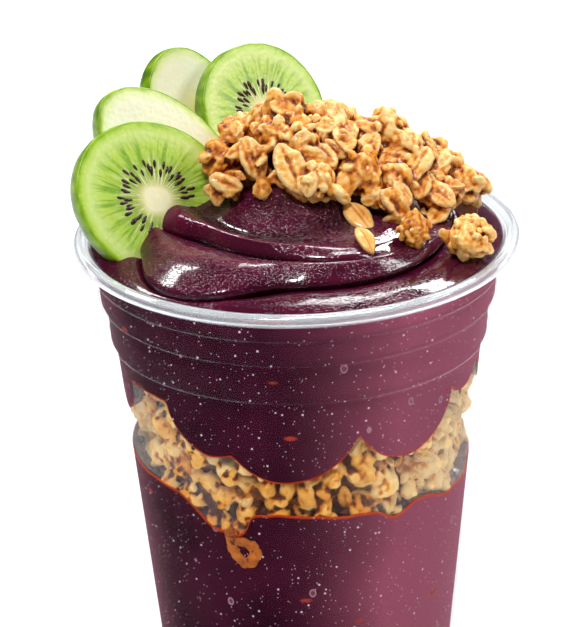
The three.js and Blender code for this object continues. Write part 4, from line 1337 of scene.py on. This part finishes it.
def build_kiwi(settings):
    flesh = {cut: kiwi_flesh_material(settings, cut) for cut in ("across", "along")}
    rind, seed = kiwi_rim_material(settings), seed_material(settings)
    for name, (at, azimuth, elevation, half, roll, cut) in KIWIS.items():
        points, faces, fields, kinds = kiwi_slice(name, at, azimuth, elevation, half, roll)
        piece = link(f"kiwi_{name}", mesh_from(f"kiwi_{name}", points, faces, fields))
        finish_piece(piece, [flesh[cut], rind], [f"kiwi_slice_{name}"])
        piece.data.polygons.foreach_set("material_index", kinds)
        if cut == "across":
            spots = seed_spots(name, at, azimuth, elevation, half, roll, settings.seeds)
            shape = scattered(spots, [seed_shape()], seed, size_spread=0.08, tilt_spread=0.05)
            seeds = link(f"kiwi_seeds_{name}", mesh_from(f"kiwi_seeds_{name}", *shape))
            finish_piece(seeds, [seed])


# ------------------------------------------------------------------------------------------
# Granola


def nugget_shape(seed, levels=3):
    """A puffed grain or crumb of unit size with a knobbly surface."""
    points, faces = ball(levels, 0.5)
    swelling = (
        1
        + 0.20 * noise(points, 0.42, seed)
        + 0.13 * noise(points, 0.2, seed + 50)
        + 0.05 * noise(points, 0.11, seed + 90)
    )
    points = points * swelling[:, None] * (1.0, 0.86, 0.74)
    return points, faces, {"rim": np.zeros(len(points))}


def flake_shape(seed, creases=1, depth=0.3):
    """A rolled oat of unit length: a pointed oval, pressed thin, creased along its middle."""
    rng = np.random.default_rng(seed)
    count = 28  # points around it
    turns = np.linspace(0, 2 * np.pi, count, endpoint=False)
    width = rng.uniform(0.5, 0.62)
    ragged = 1 + 0.05 * noise(np.stack([np.cos(turns), np.sin(turns), 0 * turns], -1), 0.5, seed)
    pointed = 1 - 0.28 * np.abs(np.cos(turns)) ** 3
    shares = [0, 0.2, 0.4, 0.58, 0.74, 0.87, 0.95, 1.0]
    thick = rng.uniform(0.15, 0.2)
    bend, cup = rng.uniform(-0.12, 0.12), rng.uniform(0.02, 0.12)
    sides = []
    for side in (1, -1):
        layer = []
        for share in shares:
            x = 0.5 * share * np.cos(turns) * ragged
            y = 0.5 * width * share * np.sin(turns) * pointed * ragged
            z = side * 0.5 * thick * np.sqrt(1 - min(share, 0.995) ** 3)
            groove = np.exp(-((y / 0.03) ** 2)) * np.clip(1 - np.abs(2 * x) ** 3, 0, 1)
            for k in range(1, creases):
                shift = 0.11 * (1 if k % 2 else -1)
                groove = groove + 0.6 * np.exp(-(((y - shift) / 0.025) ** 2))
            z = z - (depth if side > 0 else 0.1) * thick * groove
            z = z + cup * (y / (0.5 * width)) ** 2 * 0.5 + bend * (2 * x) ** 2 * 0.5
            layer.append((np.stack([x, y, z], -1), np.full(count, share), groove))
        sides.append(layer)
    points, rim, crease = [], [], []
    index = {}
    for s, layer in enumerate(sides):
        for r, (ring, share, groove) in enumerate(layer):
            if r == 0:
                index[s, r] = [len(points)]
                points.append(ring[0])
                rim.append(0.0)
                crease.append(groove[0])
            elif s == 1 and r == len(shares) - 1:
                index[s, r] = index[0, r]
            else:
                index[s, r] = list(range(len(points), len(points) + count))
                points += list(ring)
                rim += list(share)
                crease += list(groove)
    faces = []
    for s in (0, 1):
        for r in range(1, len(shares)):
            outer = index[s, r]
            inner = index[s, r - 1]
            for k in range(count):
                q = (k + 1) % count
                if r == 1:
                    face = (inner[0], outer[k], outer[q])
                else:
                    face = (inner[k], outer[k], outer[q], inner[q])
                faces.append(face if s == 0 else face[::-1])
    rim = np.clip((np.array(rim) - 0.8) / 0.2, 0, 1) * 0.55
    rim = np.maximum(rim, 0.75 * np.clip(crease, 0, 1))
    return np.array(points), faces, {"rim": rim}


NUGGETS, FLAKES, CRUMBS = (0, 8), (8, 16), (16, 26)  # where each kind lies among the shapes


def granola_shapes():
    """Nuggets, flakes and the plain crumbs that stick to them."""
    shapes = [nugget_shape(100 + k) for k in range(*NUGGETS)]
    shapes += [flake_shape(200 + k, 1 + k % 3) for k in range(*FLAKES)]
    return shapes + [nugget_shape(100 + k, 2) for k in range(*CRUMBS)]


def clump_spots(rng, at, size, kind, tint, outward, knobs=(17, 0.2, 0.52)):
    """Pieces that make one clump, seen mostly along outward. A cluster has knobs: how many, and
    the size of the smallest and the largest as a share of its own."""
    at, outward = np.array(at, float), np.array(outward, float)
    outward = outward / np.linalg.norm(outward)
    spots = []

    def place(where, scale, flat, shapes, lighter=0.0):
        turn = tuple(rng.uniform(-math.pi, math.pi, 3))
        stretch = (scale * rng.uniform(1.0, 1.35), scale, scale * flat)
        tone = float(np.clip(tint + lighter + rng.normal(0, 0.1), 0, 1))
        spots.append((where, turn, stretch, int(rng.integers(*shapes)), tone))

    def flake(where, normal, length, roll):
        stretch = (length, length * rng.uniform(0.95, 1.15), length * rng.uniform(0.9, 1.3))
        tone = float(np.clip(tint + 0.16 + rng.normal(0, 0.06), 0, 1))
        spots.append((where, frame_of(normal, roll), stretch, int(rng.integers(*FLAKES)), tone))

    if kind == "grain":
        place(at, size * 0.85, 0.8, NUGGETS)
        return spots
    if kind == "flake":
        face = outward + rng.normal(0, 0.18, 3)
        flake(at + outward * 0.2 * size, face, size * 1.05, rng.uniform(0, 180))
        for _ in range(3):
            shift = np.clip(rng.normal(0, 0.22, 3), -0.34, 0.34) * size
            face = outward + rng.normal(0, 0.5, 3)
            flake(at - outward * 0.1 * size + shift, face, size * 0.85, rng.uniform(0, 360))
        place(at - outward * 0.15 * size, size * 0.7, 0.8, NUGGETS)
        for _ in range(6):
            way = np.clip(rng.normal(0, 0.24, 3), -0.36, 0.36)
            where = at - outward * 0.1 * size + way * size
            place(where, size * rng.uniform(0.18, 0.3), 0.8, CRUMBS)
        return spots
    count, least, most = knobs
    place(at, size * (1.06 - 0.5 * most), 0.9, NUGGETS)
    for k in range(count):
        up = 1 - 2 * (k + 0.5) / count
        angle = 2.4 * k + rng.uniform(-0.3, 0.3)
        flat = math.sqrt(1 - up * up)
        way = np.array([flat * math.cos(angle), flat * math.sin(angle), up]) + 0.35 * outward
        way = way / np.linalg.norm(way)
        where = at + way * size * rng.uniform(0.28, 0.4) * (1, 1, 0.85)
        if k % 5 == 2 and most > 0.4:
            flake(where, way + 0.4 * outward, size * rng.uniform(0.45, 0.65), rng.uniform(0, 360))
        else:
            place(where, size * rng.uniform(least, most), 0.85, CRUMBS)
    return spots


def open_granola(settings):
    """The granola material of the heap and the loose pieces, made once."""
    return bpy.data.materials.get("Baked honey granola") or granola_material(settings)


def finished_granola(shape, voxel, rounds=8):
    """Fuses the pieces, adds the sugary fine relief and works out where the hollows are."""
    points, triangles, fields = fused(shape, voxel)
    normal = normals_of(points, triangles)
    relief = 0.16 * noise(points, 1.2, 5) + 0.12 * noise(points, 0.6, 6)
    points = points + normal * relief[:, None]
    # the wide hollows between clumps are darkened as painted shade
    near, wide_shade = hollows(points, triangles, rounds), hollows(points, triangles, 6 * rounds)
    fields["hollow"] = np.clip(near, -0.26, 0.4) + 0.4 * np.clip(wide_shade, 0, 0.8)
    return points, triangles, fields


def mound_core():
    """The inside of the heap, where only dark gaps show, given a dark tone as painted shade."""
    points, faces = ball(5, 1.0)
    x = MOUND_CENTRE[0] + 30.0 * points[:, 0]
    reach = np.where(points[:, 1] < 0, 15.0, 13.5)
    y = MOUND_CENTRE[1] + reach * points[:, 1]
    top = np.maximum(3, mound_height(x, y) - 3.6)
    up = points[:, 2]
    z = np.where(up > 0, lerp(2, top, np.abs(up) ** 0.4), 2 + 3 * up)
    placed = np.stack([x, y, RIM + z], axis=-1)
    placed = placed + 0.9 * noise(placed, 3.0, 9)[:, None] * points
    count = len(placed)
    # a dark tone and a full hollow value: painted shade of the gaps
    return placed, faces, {
        "tint": np.full(count, 0.22), "rim": np.zeros(count), "hollow": np.full(count, 0.3)
    }


def filling_spots(rng, count):
    """Clumps and grains between the big clumps, a little under the heap's surface."""
    spots, taken = [], []
    while len(taken) < count:
        x = MOUND_CENTRE[0] + rng.uniform(-27, 29)
        y = MOUND_CENTRE[1] + rng.uniform(-15, 13)
        rise = float(mound_height(x, y))
        oval = ((x - MOUND_CENTRE[0]) / 29) ** 2 + ((y - MOUND_CENTRE[1]) / 15.5) ** 2
        here = np.array([x, y, RIM + max(rise - 4.2, 7.0)])
        crowded = oval > 0.85 or any(np.linalg.norm(here - other) < 3.3 for other in taken)
        # the odd one goes in all the same, so that the search comes to an end
        if crowded and rng.random() < 0.995:
            continue
        taken.append(here)
        outward = np.array([0.35 * (x - 10) / 30, (y - 3) / 16 - 0.5, 1.0])
        kind = ("cluster", "flake", "grain", "flake")[len(taken) % 4]
        tint = 0.42 + rng.uniform(-0.15, 0.12)
        spots += clump_spots(rng, here, rng.uniform(4.5, 6.5), kind, tint, outward)
    return spots


def build_heap(settings):
    """The heap in a left and a right part, each one fused skin."""
    material = open_granola(settings)
    rng = np.random.default_rng(settings.seed)
    spots = filling_spots(rng, settings.filling)
    for x, y, z, size, kind in CLUMPS:
        outward = np.array([0.35 * (x - 10) / 30, (y - 3) / 16, 0.9]) + (0, -0.55, 0.2)
        tint = 0.5 + 0.12 * (x - 5) / 30 + rng.uniform(-0.22, 0.18)
        spots += clump_spots(rng, (x, y, RIM + z), 1.1 * size, kind, tint, outward)
    parts = ([], [])
    for spot in spots:
        parts[int(spot[0][0] > MOUND_CENTRE[0])].append(spot)
    for side, part, extra in (("left", parts[0], []), ("right", parts[1], [mound_core()])):
        shape = scattered(part, granola_shapes(), material, 0.08, 0.1, seed=3)
        body = finished_granola(shape, settings.detail / MM)
        name = f"granola_heap_{side}"
        piece = link(name, mesh_from(name, *joined([body] + extra)))
        finish_piece(piece, [material], ["granola_heap"] if extra else ())


def band_core():
    """The inside of the band, where only dark gaps show, given a dark tone as painted shade."""
    azimuths = np.arange(0, 360, 3.0)
    insets = np.array([40.0, 12, 6, 0])
    low_edge, top_edge = lower_edge(azimuths)[:, None], upper_edge(azimuths)[:, None]
    setback = band_setback(azimuths)[:, None] + 0.4
    low_radius = np.maximum(inner_radius(low_edge) - np.maximum(insets, setback), 0)
    top_radius = np.maximum(inner_radius(top_edge) - np.maximum(insets[::-1], setback), 0)
    low_depth = lerp(LOWER_INNER, low_edge, np.interp(insets, [0, 6, 12], [1, 0.3, 0])) + 1.0
    top_depth = lerp(UPPER_INNER, top_edge, np.interp(insets[::-1], [0, 6, 12], [0.93, 0.35, 0]))
    low_radius[:, 0] = 0
    top_radius[:, -1] = 0
    radius = np.concatenate([low_radius, top_radius], axis=1)
    height = RIM - np.concatenate([low_depth, top_depth - 1.0], axis=1)
    points, faces, _ = turned(azimuths, radius, height)
    # a dark tone and a full hollow value: painted shade of the gaps
    tone = {"tint": 0.3, "rim": 0.0, "hollow": 0.3}
    return points, faces, {name: np.full(len(points), value) for name, value in tone.items()}


def band_spots(rng, count):
    """Nuggets and flakes of the band, the largest first, in two layers on the wall."""
    spots, taken = [], []
    sizes = np.sort(rng.uniform(2.6, 7.2, count))[::-1]
    for number, size in enumerate(sizes):
        deep = number % 3 == 0
        for _ in range(80):
            azimuth = rng.uniform(-180, 180)
            top, low = float(upper_edge(azimuth)), float(lower_edge(azimuth))
            depth = rng.uniform(top - 3.0, low + 2.5)
            setback = float(band_setback(azimuth)) - BAND_SETBACK
            radius = float(inner_radius(depth)) - size * (0.85 if deep else 0.4) - setback
            where = around(azimuth, radius, RIM - depth)
            near = (np.linalg.norm(where - other) < 0.4 * (size + s) for other, s in taken)
            if not any(near):
                break
        taken.append((where, size))
        outward = around(azimuth, 1.0, 0.15)
        # painted shade: the pieces at the bottom of the band's front, and those of the deeper
        # layer, are made darker; on the right they are made paler
        syrup = float(swell(azimuth, -12, 60)) * min(max((depth - top) / max(low - top, 1), 0), 1)
        pale = float(swell(azimuth, 66, 60))
        tint = 0.54 + 0.28 * pale - 0.42 * syrup - 0.2 * deep + rng.normal(0, 0.12)
        if rng.random() < 0.3 + 0.25 * pale:
            stretch = (size * 1.35, size * 1.25, size * 1.2)
            turn = frame_of(outward + rng.normal(0, 0.45, 3), rng.uniform(0, 360))
            spots.append((where, turn, stretch, int(rng.integers(*FLAKES)), tint + 0.1))
            continue
        turn = tuple(rng.uniform(-math.pi, math.pi, 3))
        stretch = (size * rng.uniform(1, 1.3), size, size * 0.9)
        spots.append((where, turn, stretch, int(rng.integers(*NUGGETS)), tint))
        for _ in range(4 if size > 3.6 else 0):
            way = rng.normal(0, 1, 3) + outward
            at = where + way / np.linalg.norm(way) * size * 0.42
            turn = tuple(rng.uniform(-math.pi, math.pi, 3))
            crumb = size * rng.uniform(0.22, 0.38)
            stretch = (crumb * 1.2, crumb, crumb * 0.9)
            spots.append((at, turn, stretch, int(rng.integers(*CRUMBS)), tint + rng.normal(0, 0.1)))
    return spots


def pressed_granola(spots, material, voxel, reach, seed):
    """Pieces fused and pressed flat where they meet the wall, as far as reach into it."""
    shape = scattered(spots, granola_shapes(), material, 0.06, 0.1, seed)
    points, triangles, fields = finished_granola(shape, voxel)
    radius = np.hypot(points[:, 0], points[:, 1])
    limit = inner_radius(RIM - points[:, 2]) + reach
    points[:, :2] *= np.minimum(1, limit / np.maximum(radius, 1e-6))[:, None]
    fields["hollow"] = np.maximum(fields["hollow"], -0.1)
    return points, triangles, fields


def build_band(settings):
    """The band seen through the wall, in a front and a back half round a core that is dark as
    painted shade.
    """
    material = granola_material(settings, pressed=True)
    spots = band_spots(np.random.default_rng(settings.seed + 6), settings.band_pieces)
    halves = ([s for s in spots if s[0][1] < 0], [s for s in spots if s[0][1] >= 0])
    for side, part, extra in (("front", halves[0], [band_core()]), ("back", halves[1], [])):
        voxel = settings.band_detail / MM
        body = pressed_granola(part, material, voxel, 0.6 * IN_WALL, 4)
        # painted shade darkens the front-left, and the pieces by the air gaps are made paler
        points, _, fields = body
        azimuth = azimuth_of(points)
        front_shade, paler_by_gaps = swell(azimuth, -30, 44), swell(azimuth, 62, 52) + swell(azimuth, -84, 34)
        fields["tint"] = fields["tint"] + 0.25 * paler_by_gaps - 0.1 * front_shade
        fields["hollow"] = fields["hollow"] * (1 + 0.9 * front_shade - 0.45 * paler_by_gaps)
        name = f"granola_band_{side}"
        piece = link(name, mesh_from(name, *joined([body] + extra)))
        finish_piece(piece, [material], ["granola_layer"] if extra else ())
    build_sunk_oat(settings, material)


def build_sunk_oat(settings, material):
    """A curled oat that slid into the lower puree and shows through the wall."""
    rng = np.random.default_rng(settings.seed + 8)
    path = np.array([(azimuth, depth, 0) for azimuth, depth in SUNK_OAT], float)
    spots, count = [], 40
    for number, (azimuth, depth, _) in enumerate(spline(path, count)):
        size = 2.5 + 0.8 * math.sin(number / (count - 1) * math.pi) + rng.uniform(-0.3, 0.3)
        where = around(azimuth, float(inner_radius(depth)) - 0.06 * size, RIM - depth)
        turn = tuple(rng.uniform(-math.pi, math.pi, 3))
        spots.append((where, turn, (size, size, size), int(rng.integers(*CRUMBS)), 0.24))
    shape = pressed_granola(spots, material, 0.2, 2.4 * IN_WALL, 9)
    shape[2]["hollow"] = np.maximum(shape[2]["hollow"], 0)
    piece = link("sunk_oat", mesh_from("sunk_oat", *shape))
    finish_piece(piece, [material])


def build_loose(settings):
    """Two clusters and two oats that lie apart on the swirl."""
    material = open_granola(settings)
    rng = np.random.default_rng(settings.seed + 20)
    for name, ((x, y), size, seed, tint) in LOOSE_CLUSTERS.items():
        centre = np.array([x, y, RIM + swirl_height(x, y) + 0.36 * size])
        knobs = (34, 0.2, 0.34)
        spots = clump_spots(rng, centre, size, "cluster", tint, (0, -0.4, 0.6), knobs)
        shape = scattered(spots, granola_shapes(), material, size_spread=0.05, seed=seed)
        shape = finished_granola(shape, 0.22)
        piece = link(f"granola_cluster_{name}_pieces", mesh_from(f"cluster_{name}", *shape))
        finish_piece(piece, [material], [f"granola_cluster_{name}"])
    spots = []
    for number, ((x, y), length, width, thickness, turn, lean) in enumerate(LOOSE_OATS):
        place = (x, y, RIM + swirl_height(x, y) + 0.42 * thickness)
        basis = Matrix.Rotation(math.radians(lean), 3, "X") @ Matrix.Rotation(
            math.radians(turn), 3, "Z"
        )
        stretch = (length, width / 0.55, thickness / 0.17)
        spots.append((place, tuple(basis.to_euler()), stretch, number, 0.64))
    shapes = [flake_shape(300, 2, 0.07), flake_shape(301, 1, 0.05)]
    points, triangles, fields = scattered(spots, shapes, material, size_spread=0.0, tilt_spread=0.0)
    fields["hollow"] = np.clip(hollows(points, triangles, 2), -0.35, 0.5)
    piece = link("loose_oats", mesh_from("loose_oats", points, triangles.tolist(), fields))
    finish_piece(piece, [material])


# ------------------------------------------------------------------------------------------
# Stage


def build_stage(settings):
    scene = bpy.context.scene
    bpy.ops.mesh.primitive_plane_add(size=6.0)
    floor = bpy.context.object
    floor.name = "studio_floor"
    material, tree = new_material("Matt painted studio floor")
    place = add(tree, "TexCoord").outputs["Object"]
    # roller marks of about 50 mm, barely seen
    tone = add(tree, "TexNoise", {"Vector": place, "Scale": 20.0, "Detail": 2.0})
    colour = add(tree, "Mix", {
        "Factor_Float": tone, "A_Color": settings.floor_colour, "B_Color": linear("#f7f7fa")
    }, data_type="RGBA")
    paint = add(tree, "BsdfPrincipled", {"Base Color": colour, "Roughness": 0.8})
    add(tree, "OutputMaterial", {"Surface": paint})
    floor.data.materials.append(material)

    world = bpy.data.worlds.new("studio_air")
    world.use_nodes = True
    background = world.node_tree.nodes["Background"]
    background.inputs["Color"].default_value = linear("#f4f5f8")
    background.inputs["Strength"].default_value = settings.air_light
    scene.world = world

    target = Vector((0, 0, 0.11))
    # azimuth and height of each softbox in degrees, its width and height, and its power
    for name, azimuth, elevation, size, power in (
        ("key_softbox", -18, 62, (0.45, 0.45), settings.key_light),
        ("right_softbox", 80, 35, (0.6, 0.6), settings.right_light),
        ("back_left_softbox", -136, 48, (0.45, 0.35), settings.back_left_light),
        ("back_right_softbox", 146, 46, (0.5, 0.3), settings.back_right_light),
        ("top_softbox", 169, 57, (0.5, 0.7), settings.top_light),
    ):
        lamp = bpy.data.lights.new(name, "AREA")
        lamp.shape = "RECTANGLE"
        lamp.size, lamp.size_y = size
        lamp.energy = power
        holder = bpy.data.objects.new(name, lamp)
        scene.collection.objects.link(holder)
        across, up = math.radians(azimuth), math.radians(elevation)
        way = Vector(
            (math.cos(up) * math.sin(across), -math.cos(up) * math.cos(across), math.sin(up))
        )
        holder.location = target + LAMP_DISTANCE * way
        holder.rotation_euler = way.to_track_quat("Z", "Y").to_euler()

    camera = bpy.data.cameras.new("camera")
    camera.lens = LENS
    camera.sensor_width = SENSOR
    camera.sensor_fit = "AUTO"
    camera.clip_start, camera.clip_end = 0.01, 20.0
    holder = bpy.data.objects.new("camera", camera)
    scene.collection.objects.link(holder)
    tilt, roll = math.radians(CAMERA_TILT), math.radians(CAMERA_ROLL)
    ahead = Vector((0, math.cos(tilt), -math.sin(tilt)))
    up = Vector((0, math.sin(tilt), math.cos(tilt)))
    right = Vector((1, 0, 0))
    x = math.cos(roll) * right + math.sin(roll) * up
    y = -math.sin(roll) * right + math.cos(roll) * up
    turn = Matrix((x, y, -ahead)).transposed().to_4x4()
    holder.matrix_world = Matrix.Translation(Vector(CAMERA_PLACE) * MM) @ turn
    scene.camera = holder
    scene.view_settings.view_transform = "Standard"
    scene.view_settings.look = "None"


# ------------------------------------------------------------------------------------------
# Add-on: settings, operators and panel


def colour_property(name, description, hex_colour):
    return bpy.props.FloatVectorProperty(
        name=name,
        description=description,
        subtype="COLOR",
        size=4,
        min=0.0,
        max=1.0,
        default=linear(hex_colour),
    )


class CupSettings(bpy.types.PropertyGroup):
    wall: bpy.props.FloatProperty(
        name="Wall", description="Thickness of the cup's wall", default=0.0007, unit="LENGTH"
    )
    turn_steps: bpy.props.IntProperty(
        name="Turn Steps", description="Facets round the cup", default=288, min=24
    )
    mist: bpy.props.FloatProperty(
        name="Mist", description="Mist on the wall where air shows", default=0.75, subtype="FACTOR"
    )
    rim_haze: bpy.props.FloatProperty(
        name="Rim Haze", description="Whitening of the rolled rim", default=0.3, subtype="FACTOR"
    )
    # painted sheen on part of the wall, as a milky haze
    frost: bpy.props.FloatProperty(
        name="Frost", description="Frost on part of the wall", default=0.02, subtype="FACTOR"
    )
    wetting: bpy.props.FloatProperty(
        name="Wetting", description="How far wet contact hides gloss", default=0.9, subtype="FACTOR"
    )
    plastic_colour: colour_property("Plastic", "Tint of the clear plastic", "#fbfcfc")


class AcaiSettings(bpy.types.PropertyGroup):
    acai_colour: colour_property("Acai", "Lighter tone of the puree", "#520c2a")
    acai_dark: colour_property("Acai Dark", "Darker tone of the puree", "#300619")
    acai_wall: colour_property("Acai at the Wall", "Tone behind the plastic", "#421026")
    acai_wall_dark: colour_property("Acai Dark at the Wall", "Darker tone there", "#290715")
    # tone of the painted sheen on the puree behind the wall
    acai_painted_sheen: colour_property("Frosted Acai", "Tone where ice grew on it", "#95485f")
    # painted light on the ridges of the open puree
    acai_ridge_painted_light: colour_property("Acai Ridge", "Ridges of the open puree", "#842246")
    # painted shade in the creases and on the steep sides of the open puree
    acai_crease_painted_shade: colour_property("Acai Crease", "Creases of the open puree", "#22040f")
    acai_grain: colour_property("Acai Grain", "Ice grain in the open puree", "#6e2647")
    ice: colour_property("Ice", "Ice specks at the wall", "#e0c0cc")
    bubble: colour_property("Bubbles", "Rims of air bubbles at the wall", "#a87886")
    skin_bit: colour_property("Fruit Skin", "Bits of fruit skin at the wall", "#a63a2c")
    # orange-red tint of the thin puree with a painted glow of light through it
    acai_edge_tint_and_painted_glow: colour_property("Acai Edge", "Thin edge on the granola", "#c2400f")


class KiwiSettings(bpy.types.PropertyGroup):
    seeds: bpy.props.IntProperty(
        name="Seeds", description="Seeds in the outer ring of a slice", default=25, min=3
    )
    core: colour_property("Core", "Cream core", "#f6f1c4")
    inner_flesh: colour_property("Inner Flesh", "Flesh between the seeds", "#8fb03a")
    flesh: colour_property("Flesh", "Flesh outside the seeds", "#b8d650")
    ray: colour_property("Ray", "Pale rays from the core", "#ecf0b4")
    streak: colour_property("Streaks", "Darker streaks outside the seeds", "#7aa826")
    rind: colour_property("Rind", "Outside of the peeled fruit", "#6a9208")
    seed_colour: colour_property("Seed", "Seed coat", "#22130f")


class GranolaSettings(bpy.types.PropertyGroup):
    seed: bpy.props.IntProperty(name="Seed", description="Arrangement of the pieces", default=5)
    filling: bpy.props.IntProperty(
        name="Filling", description="Clumps between the heap's big clumps", default=70, min=1
    )
    detail: bpy.props.FloatProperty(
        name="Detail", description="Finest detail of the heap", default=0.00034, unit="LENGTH"
    )
    band_detail: bpy.props.FloatProperty(
        name="Band Detail", description="Finest detail of the band", default=0.00043, unit="LENGTH"
    )
    band_pieces: bpy.props.IntProperty(
        name="Band Pieces", description="Pieces pressed to the wall", default=560, min=10
    )
    cream: colour_property("Cream", "Pale face of a flake", "#f2ac48")
    toasted: colour_property("Toasted", "Honey tone between", "#d67f20")
    glaze: colour_property("Glaze", "Amber syrup in the creases", "#b35c14")
    # darkest glaze, also the painted shade of the deepest gaps
    glaze_dark_and_shade: colour_property("Dark Glaze", "Deepest gaps", "#5a240a")


class StageSettings(bpy.types.PropertyGroup):
    floor_colour: colour_property("Floor", "Floor paint", "#f1f1f5")
    air_light: bpy.props.FloatProperty(
        name="Air Light", description="Strength of the even light", default=0.06, min=0.0
    )
    key_light: bpy.props.FloatProperty(
        name="Key", description="Softbox from the front", default=30.0, min=0.0, unit="POWER"
    )
    right_light: bpy.props.FloatProperty(
        name="Right", description="Softbox from the right", default=12.0, min=0.0, unit="POWER"
    )
    back_left_light: bpy.props.FloatProperty(
        name="Back Left", description="Softbox behind left", default=16.0, min=0.0, unit="POWER"
    )
    back_right_light: bpy.props.FloatProperty(
        name="Back Right", description="Softbox behind right", default=17.0, min=0.0, unit="POWER"
    )
    top_light: bpy.props.FloatProperty(
        name="Top", description="Softbox above", default=15.0, min=0.0, unit="POWER"
    )


class ACAICUP_OT_cup(bpy.types.Operator):
    """Makes the clear cup with its stepped wall and rolled rim"""

    bl_idname = "acaicup.cup"
    bl_label = "Cup"

    def execute(self, context):
        build_cup(context.scene.acaicup_cup)
        return {"FINISHED"}


class ACAICUP_OT_acai(bpy.types.Operator):
    """Makes the lower acai and the upper acai with its swirl"""

    bl_idname = "acaicup.acai"
    bl_label = "Acai"

    def execute(self, context):
        build_acai(context.scene.acaicup_acai)
        return {"FINISHED"}


class ACAICUP_OT_kiwi(bpy.types.Operator):
    """Makes the four kiwi slices and the seeds in their cut faces"""

    bl_idname = "acaicup.kiwi"
    bl_label = "Kiwi Slices"

    def execute(self, context):
        build_kiwi(context.scene.acaicup_kiwi)
        return {"FINISHED"}


class ACAICUP_OT_band(bpy.types.Operator):
    """Makes the granola band behind the wall and the oat sunk in the lower acai"""

    bl_idname = "acaicup.band"
    bl_label = "Granola Band"

    def execute(self, context):
        build_band(context.scene.acaicup_granola)
        return {"FINISHED"}


class ACAICUP_OT_heap(bpy.types.Operator):
    """Makes the granola heap on the swirl"""

    bl_idname = "acaicup.heap"
    bl_label = "Granola Heap"

    def execute(self, context):
        build_heap(context.scene.acaicup_granola)
        return {"FINISHED"}


class ACAICUP_OT_loose(bpy.types.Operator):
    """Makes the two clusters and two oats that lie apart"""

    bl_idname = "acaicup.loose"
    bl_label = "Loose Granola"

    def execute(self, context):
        build_loose(context.scene.acaicup_granola)
        return {"FINISHED"}


class ACAICUP_OT_stage(bpy.types.Operator):
    """Makes the floor, the lights and the camera"""

    bl_idname = "acaicup.stage"
    bl_label = "Stage"

    def execute(self, context):
        build_stage(context.scene.acaicup_stage)
        return {"FINISHED"}


STEPS = (
    ACAICUP_OT_cup,
    ACAICUP_OT_acai,
    ACAICUP_OT_kiwi,
    ACAICUP_OT_band,
    ACAICUP_OT_heap,
    ACAICUP_OT_loose,
    ACAICUP_OT_stage,
)


class ACAICUP_PT_panel(bpy.types.Panel):
    """Lists the pieces of the cup in the order they are made"""

    bl_idname = "ACAICUP_PT_panel"
    bl_label = "Acai Cup"
    bl_space_type = "VIEW_3D"
    bl_region_type = "UI"
    bl_category = "Acai Cup"

    def draw(self, context):
        for step in STEPS:
            self.layout.operator(step.bl_idname)
        for name in GROUPS:
            group = getattr(context.scene, name)
            box = self.layout.box()
            for key in group.__annotations__:
                box.prop(group, key)


GROUPS = {
    "acaicup_cup": CupSettings,
    "acaicup_acai": AcaiSettings,
    "acaicup_kiwi": KiwiSettings,
    "acaicup_granola": GranolaSettings,
    "acaicup_stage": StageSettings,
}


def register():
    for cls in (*GROUPS.values(), *STEPS, ACAICUP_PT_panel):
        bpy.utils.register_class(cls)
    for name, group in GROUPS.items():
        setattr(bpy.types.Scene, name, bpy.props.PointerProperty(type=group))


def unregister():
    for name in GROUPS:
        delattr(bpy.types.Scene, name)
    for cls in (ACAICUP_PT_panel, *reversed(STEPS), *reversed(GROUPS.values())):
        bpy.utils.unregister_class(cls)


def main():
    register()
    bpy.ops.acaicup.cup()
    bpy.ops.acaicup.acai()
    bpy.ops.acaicup.kiwi()
    bpy.ops.acaicup.band()
    bpy.ops.acaicup.heap()
    bpy.ops.acaicup.loose()
    bpy.ops.acaicup.stage()


if __name__ == "__main__":
    main()
